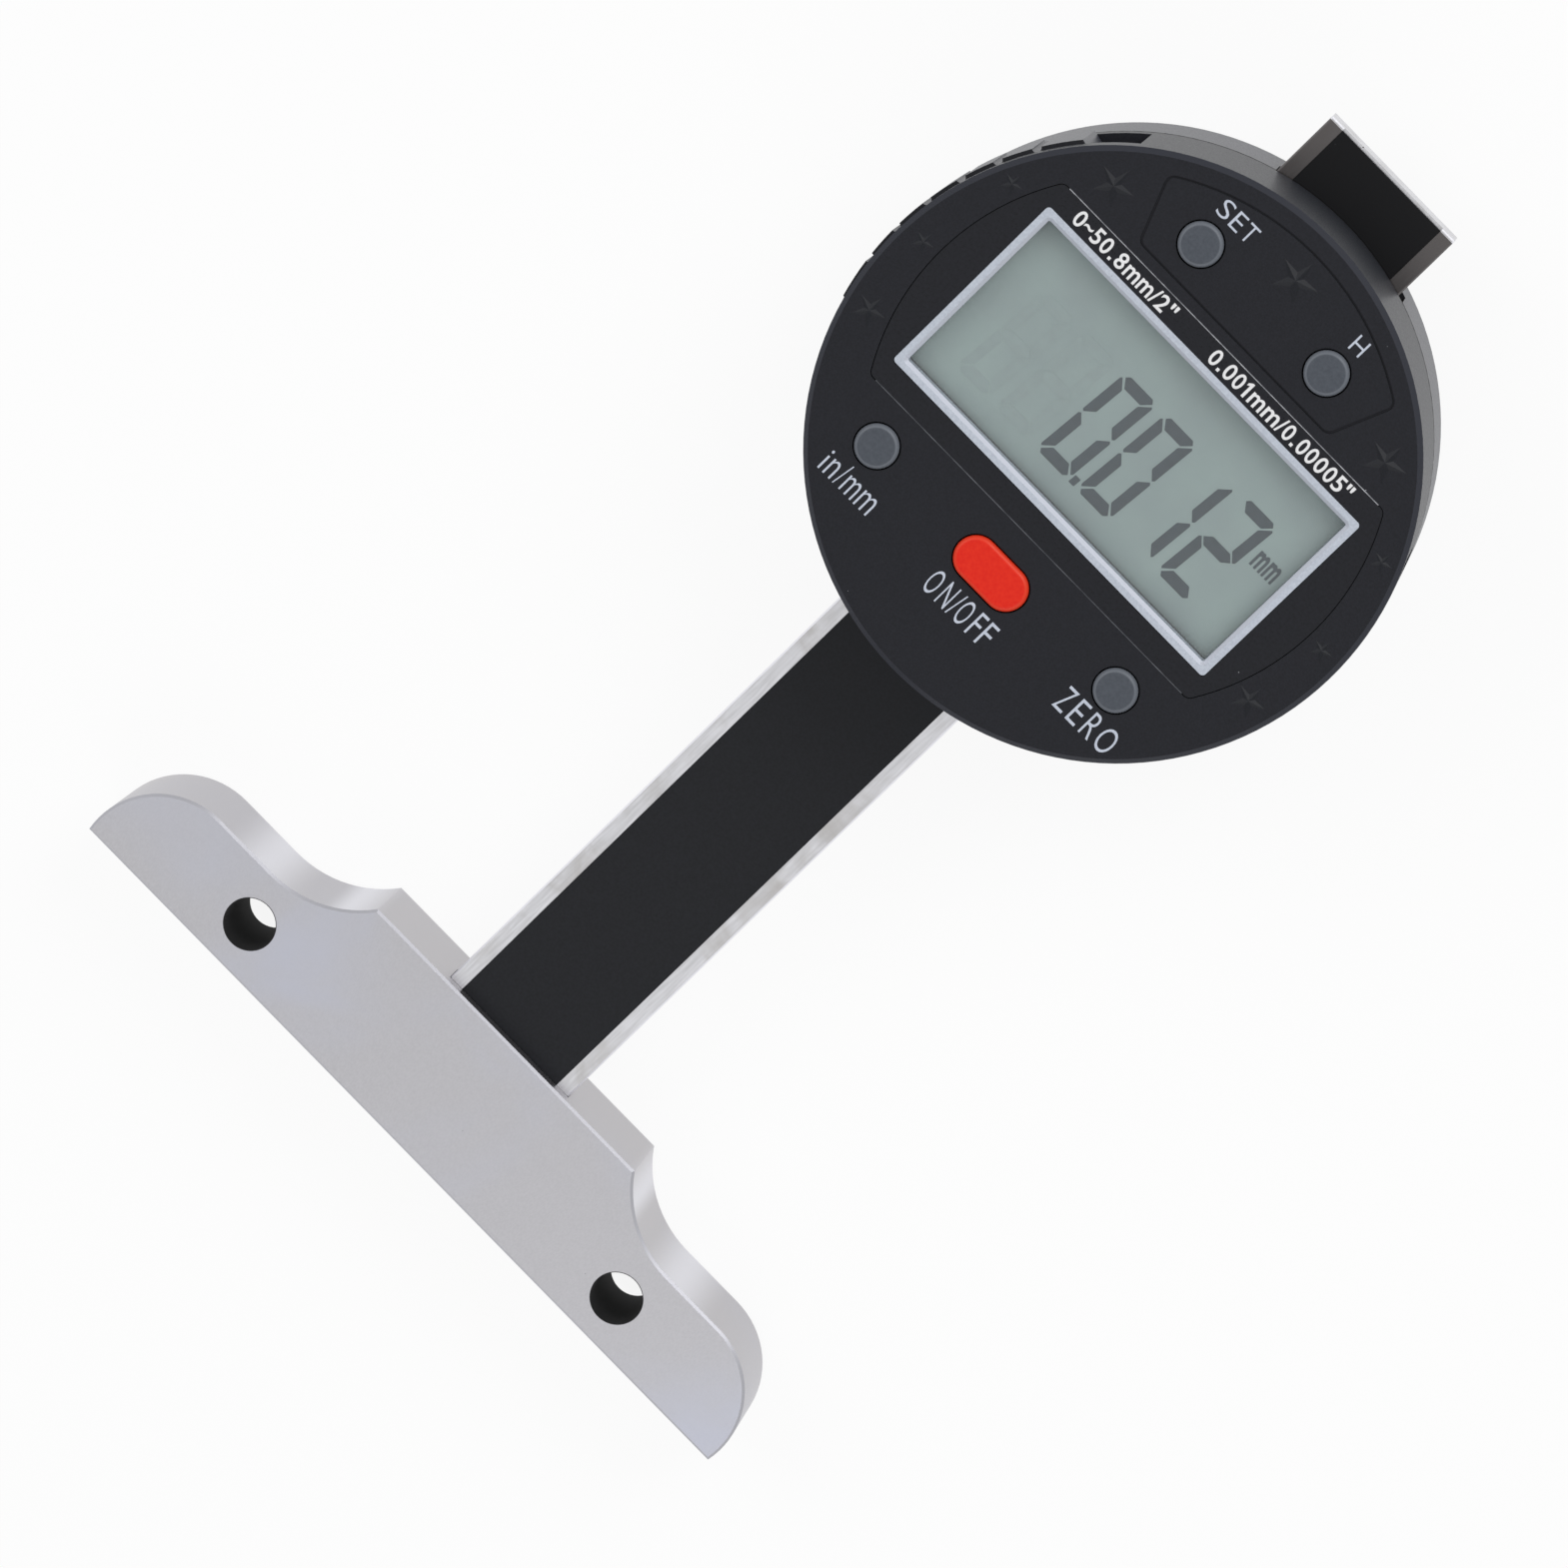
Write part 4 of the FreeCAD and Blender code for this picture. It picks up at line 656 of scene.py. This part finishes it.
seamLook = {"above": 0.15, "reach": 0.32, "colour": paint(10, 10, 12)}


def darkenSeam(material, look):
    # a dark line where the two halves of the head meet
    tree, shader = shaderOf(material)
    up = placeInMm(tree, "Z")[0]
    off = mathNode(tree, "ABSOLUTE", mathNode(tree, "SUBTRACT", up, seamLevel + look["above"]))
    seam = mathNode(tree, "LESS_THAN", off, look["reach"])
    layOver(tree, shader, seam, look["colour"])
    coat = shader.inputs["Coat Weight"].links[0].from_socket
    away = mathNode(tree, "SUBTRACT", 1.0, seam)
    tree.links.new(mathNode(tree, "MULTIPLY", coat, away), shader.inputs["Coat Weight"])


materials["displayGlass"] = makeDisplayGlass(displayLook)
paintWallGlintsAndShade(materials["groundSteel"], wallGlintLook)
paintBoreShade(materials["groundSteel"], boreShadeLook)
paintFarEndShade(materials["stainlessSteel"], farEndShadeLook)
paintFarEndShade(materials["scaleFilm"], farFilmShadeLook)
for half in ("blackPlastic", "casePlastic"):
    darkenSeam(materials[half], seamLook)
print("finishes shaded by their place")


# Finish of each piece of the frame

nodeFinish = {
    "base": "groundSteel", "beam": "stainlessSteel", "scale_strip": "scaleFilm", "base_screws": "screwSteel",
    "stop_screw": "screwSteel", "depth_rod": "rodSteel", "rod_bush": "bronze", "rod_carrier": "bronze",
    "carrier_screws": "screwSteel", "front_housing": "blackPlastic", "rear_housing": "casePlastic",
    "housing_screws": "screwSteel", "gib_strip": "bronze", "gib_screws": "screwSteel",
    "window_lens": "windowBlack", "display_frame": "silverTrim", "display_pane": "clearPane",
    "lcd_panel": "displayGlass", "zebra_strip": "greyRubber", "circuit_board": "boardGreen",
    "keypad_sheet": "greyRubber", "sensor_board": "boardGreen", "board_plug": "plugPlastic",
    "power_key": "redKey", "set_key": "greyKey", "hold_key": "greyKey", "unit_key": "greyKey",
    "zero_key": "greyKey", "battery_drawer": "casePlastic", "coin_cell": "cellSteel",
    "contact_over": "contactMetal", "contact_rim": "contactMetal", "port_cover": "casePlastic",
}
for node, finish in nodeFinish.items():
    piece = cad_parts[node]
    if not piece.material_slots:
        piece.data.materials.append(materials[finish])
    for holder in piece.material_slots:
        holder.material = materials[finish]
print("frame pieces finished:", len(nodeFinish))


# Pieces that lie on the frame

def finishPiece(name, form, finish, body):
    mesh = bpy.data.meshes.new(name)
    form.to_mesh(mesh)
    form.free()
    mesh.materials.append(materials[finish])
    piece = bpy.data.objects.new(name, mesh)
    bpy.context.scene.collection.objects.link(piece)
    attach(piece, body)


def addSlab(form, corners, low, high):
    # a flat piece from an outline in mm, seen from above, counterclockwise
    lower = [form.verts.new(fromHead(x, y, low)) for x, y in corners]
    upper = [form.verts.new(fromHead(x, y, high)) for x, y in corners]
    form.faces.new(upper)
    form.faces.new(list(reversed(lower)))
    for i, corner in enumerate(lower):
        after = (i + 1) % len(lower)
        form.faces.new((corner, lower[after], upper[after], upper[i]))


# Digits: seven slanted bars, the ones of one digit measured from its lower left corner in mm

printLevel = glassLevel + 0.01    # what the display shows lies just over its glass
digitLook = {
    "width": 4.1, "slant": 0.079, "start": -5.355, "pitch": 5.22, "foot": -4.75, "thickness": 0.02,
    "bars": {
        "a": [(0.33, 10.45), (1.05, 9.62), (3.10, 9.62), (3.80, 10.45), (3.47, 10.80), (0.63, 10.80)],
        "f": [(0.0, 5.68), (0.20, 5.50), (1.03, 6.30), (1.03, 9.35), (0.15, 10.25), (0.0, 10.10)],
        "e": [(0.0, 0.72), (0.15, 0.55), (1.03, 1.45), (1.03, 4.50), (0.20, 5.30), (0.0, 5.12)],
        "d": [(0.33, 0.35), (0.63, 0.0), (3.47, 0.0), (3.80, 0.35), (3.10, 1.18), (1.05, 1.18)],
        "g": [(0.32, 5.40), (0.95, 4.80), (3.15, 4.80), (3.80, 5.40), (3.15, 6.00), (0.95, 6.00)],
    },
    "turned": {"b": "f", "c": "e"},    # bars on the right, which are left ones turned over
    "shapes": {"0": "abcdef", "1": "bc", "2": "abged", "8": "abcdefg"},
    "reading": "0012",
    "ghosts": "88",
    "point": [(-1.08, -4.75), (-0.42, -4.75), (-0.35, -3.85), (-1.01, -3.85)],
}


def digitBar(look, bar):
    if bar in look["turned"]:
        left = look["bars"][look["turned"][bar]]
        return [(look["width"] - x, y) for x, y in reversed(left)]
    return look["bars"][bar]


def addDigit(form, look, digit, place):
    start = look["start"] + look["pitch"] * place
    for bar in look["shapes"][digit]:
        corners = [(start + x + look["slant"] * y, look["foot"] + y) for x, y in digitBar(look, bar)]
        addSlab(form, corners, printLevel, printLevel + look["thickness"])


def makeReading(look):
    form = bmesh.new()
    for place, digit in enumerate(look["reading"]):
        addDigit(form, look, digit, place)
    addSlab(form, look["point"], printLevel, printLevel + look["thickness"])
    finishPiece("display_digits", form, "litSegment", "head")
    form = bmesh.new()
    for place, digit in enumerate(look["ghosts"], start=-len(look["ghosts"])):
        addDigit(form, look, digit, place)
    finishPiece("display_unlit_digits", form, "unlitSegment", "head")


makeReading(digitLook)
print("display digits made")


# Lettering: each letter has its own left and right in mm from the head's centre, and its own foot and top
# where they differ from those of its row

keyPrint = {"level": faceLevel, "finish": "printedInk", "slot": "silver_trim", "boldness": -0.007}
displayPrint = {"level": printLevel, "finish": "litSegment", "slot": "display_glass", "boldness": 0.03}
windowPrint = {
    "level": windowLevel, "finish": "whiteInk", "slot": "silver_trim", "boldness": 0.016, "foot": 12.42,
    "top": 14.03,
}
wordRows = {
    "label_set": {
        **keyPrint, "foot": 22.39, "top": 24.17,
        "letters": [("S", -9.36, -8.10), ("E", -7.70, -6.60), ("T", -6.30, -5.10)],
    },
    "label_hold": {**keyPrint, "foot": 22.42, "top": 24.12, "letters": [("H", 7.75, 9.05)]},
    "label_unit": {
        **keyPrint, "foot": -20.0, "top": -18.22,
        "letters": [
            ("i", -18.05, -17.80, -20.0, -17.80), ("n", -17.40, -16.45),
            ("/", -16.10, -15.60, -20.0, -17.55), ("m", -15.30, -13.75), ("m", -13.40, -11.75),
        ],
    },
    "label_power": {
        **keyPrint, "foot": -20.95, "top": -18.40,
        "letters": [
            ("O", -3.62, -2.42), ("N", -1.87, -0.75), ("/", -0.45, 0.12), ("O", 0.32, 1.50),
            ("F", 2.05, 2.95), ("F", 3.30, 4.30),
        ],
    },
    "label_zero": {
        **keyPrint, "foot": -19.85, "top": -17.30,
        "letters": [("Z", 12.40, 13.60), ("E", 14.10, 15.25), ("R", 15.80, 17.05), ("O", 17.45, 19.10)],
    },
    "label_range": {
        **windowPrint,
        "letters": [
            ("0", -17.80, -16.80), ("~", -16.68, -15.70, 12.98, 13.42), ("5", -15.55, -14.63),
            ("0", -14.40, -13.43), (".", -13.13, -12.83, 12.42, 12.74), ("8", -12.50, -11.50),
            ("m", -11.25, -9.75, 12.42, 13.62), ("m", -9.55, -8.05, 12.42, 13.62), ("/", -7.93, -7.30),
            ("2", -7.20, -6.20), ("\"", -5.95, -5.20, 13.40, 14.03),
        ],
    },
    "label_step": {
        **windowPrint,
        "letters": [
            ("0", -0.33, 0.65), (".", 0.90, 1.20, 12.42, 12.74), ("0", 1.50, 2.50), ("0", 2.70, 3.65),
            ("1", 3.88, 4.43), ("m", 4.80, 6.38, 12.42, 13.62), ("m", 6.60, 8.25, 12.42, 13.62),
            ("/", 8.38, 9.00), ("0", 9.13, 10.08), (".", 10.33, 10.65, 12.42, 12.74), ("0", 10.93, 11.88),
            ("0", 12.08, 13.03), ("0", 13.23, 14.23), ("0", 14.43, 15.38), ("5", 15.58, 16.55),
            ("\"", 16.75, 17.50, 13.40, 14.03),
        ],
    },
    "display_unit": {
        **displayPrint, "foot": 1.85, "top": 3.60, "letters": [("m", 15.68, 16.98), ("m", 17.15, 18.43)],
    },
}
drawnLetters = {
    # corners in a box of 1 by 1
    "1": [(0.48, 0.0), (1.0, 0.0), (1.0, 1.0), (0.62, 1.0), (0.0, 0.84), (0.0, 0.68), (0.48, 0.76)],
    ".": [(0.0, 0.0), (1.0, 0.0), (1.0, 1.0), (0.0, 1.0)],
}
typeLook = {"extrude": 0.1, "steps": 5}    # before a letter is fitted to its own box
inkThickness = 0.015
weldReach = 1e-8    # in metres


def typedLetter(letter, boldness):
    curve = bpy.data.curves.new("letter", "FONT")
    curve.body = letter
    curve.offset = boldness
    curve.extrude = typeLook["extrude"]
    curve.resolution_u = typeLook["steps"]
    holder = bpy.data.objects.new("letter_outline", curve)
    bpy.context.scene.collection.objects.link(holder)
    bpy.context.view_layer.update()
    solid = bpy.data.meshes.new_from_object(holder)
    bpy.data.objects.remove(holder)
    bpy.data.curves.remove(curve)
    return solid


def carry(value, old, new):
    # to the same place in another range
    return new[0] + (value - old[0]) / (old[1] - old[0]) * (new[1] - new[0])


def addLetter(form, letter, boldness, box):
    # fits a letter to its box, given as left and right, foot and top, low and high
    if letter in drawnLetters:
        corners = [(carry(x, (0, 1), box[0]), carry(y, (0, 1), box[1])) for x, y in drawnLetters[letter]]
        addSlab(form, corners, *box[2])
        return
    solid = typedLetter(letter, boldness)
    before = set(form.verts)
    form.from_mesh(solid)
    bpy.data.meshes.remove(solid)
    added = [v for v in form.verts if v not in before]
    old = [(min(v.co[i] for v in added), max(v.co[i] for v in added)) for i in range(3)]
    for v in added:
        v.co = fromHead(*map(carry, v.co, old, box))


def makeWords(name, row):
    form = bmesh.new()
    depth = (row["level"], row["level"] + inkThickness)
    for letter, left, right, *heights in row["letters"]:
        foot, top = heights or (row["foot"], row["top"])
        addLetter(form, letter, row["boldness"], ((left, right), (foot, top), depth))
    bmesh.ops.remove_doubles(form, verts=form.verts, dist=weldReach)
    finishPiece(name, form, row["finish"], "head")


for name, row in wordRows.items():
    makeWords(name, row)
print("lettering made:", len(wordRows), "rows")


# Painted highlights: fine lines where the light catches the long edges of the window

edgeLines = {
    # name: half length, lower and upper place, finish
    "window_top_highlight": (19.9, 14.40, 14.48, "rimHighlight"),
    "window_low_highlight": (19.9, -10.56, -10.47, "dimRimHighlight"),
}
for name, (half, low, high, finish) in edgeLines.items():
    form = bmesh.new()
    corners = [(-half, low), (half, low), (half, high), (-half, high)]
    addSlab(form, corners, windowLevel, windowLevel + inkThickness)
    finishPiece(name, form, finish, "head")
print("window lines made:", len(edgeLines))


# Stars raised on the face, each with ridged arms

starLook = {
    "arms": 5, "waist": 0.35, "rise": 0.12, "sink": 0.01,
    # place and reach of each
    "places": [
        (0.20, 23.30, 2.3), (-17.30, 17.50, 2.1), (17.55, 17.60, 2.2), (-23.85, 11.0, 1.15),
        (23.85, 11.0, 1.15), (-25.75, 1.5, 1.15), (25.85, 1.45, 1.15), (-24.80, -6.4, 1.7),
        (24.60, -6.55, 1.7),
    ],
}


def makeStars(look):
    form = bmesh.new()
    count = 2 * look["arms"]
    low = faceLevel - look["sink"]
    for x, y, reach in look["places"]:
        peak = form.verts.new(fromHead(x, y, faceLevel + look["rise"] * reach))
        ring = []
        for i in range(count):
            angle = math.radians(90 + 360 / count * i)
            radius = reach if i % 2 == 0 else reach * look["waist"]
            place = fromHead(x + radius * math.cos(angle), y + radius * math.sin(angle), low)
            ring.append(form.verts.new(place))
        for i, corner in enumerate(ring):
            form.faces.new((corner, ring[(i + 1) % count], peak))
        form.faces.new(list(reversed(ring)))
    finishPiece("face_stars", form, "starPlastic", "head")


makeStars(starLook)
print("stars made")
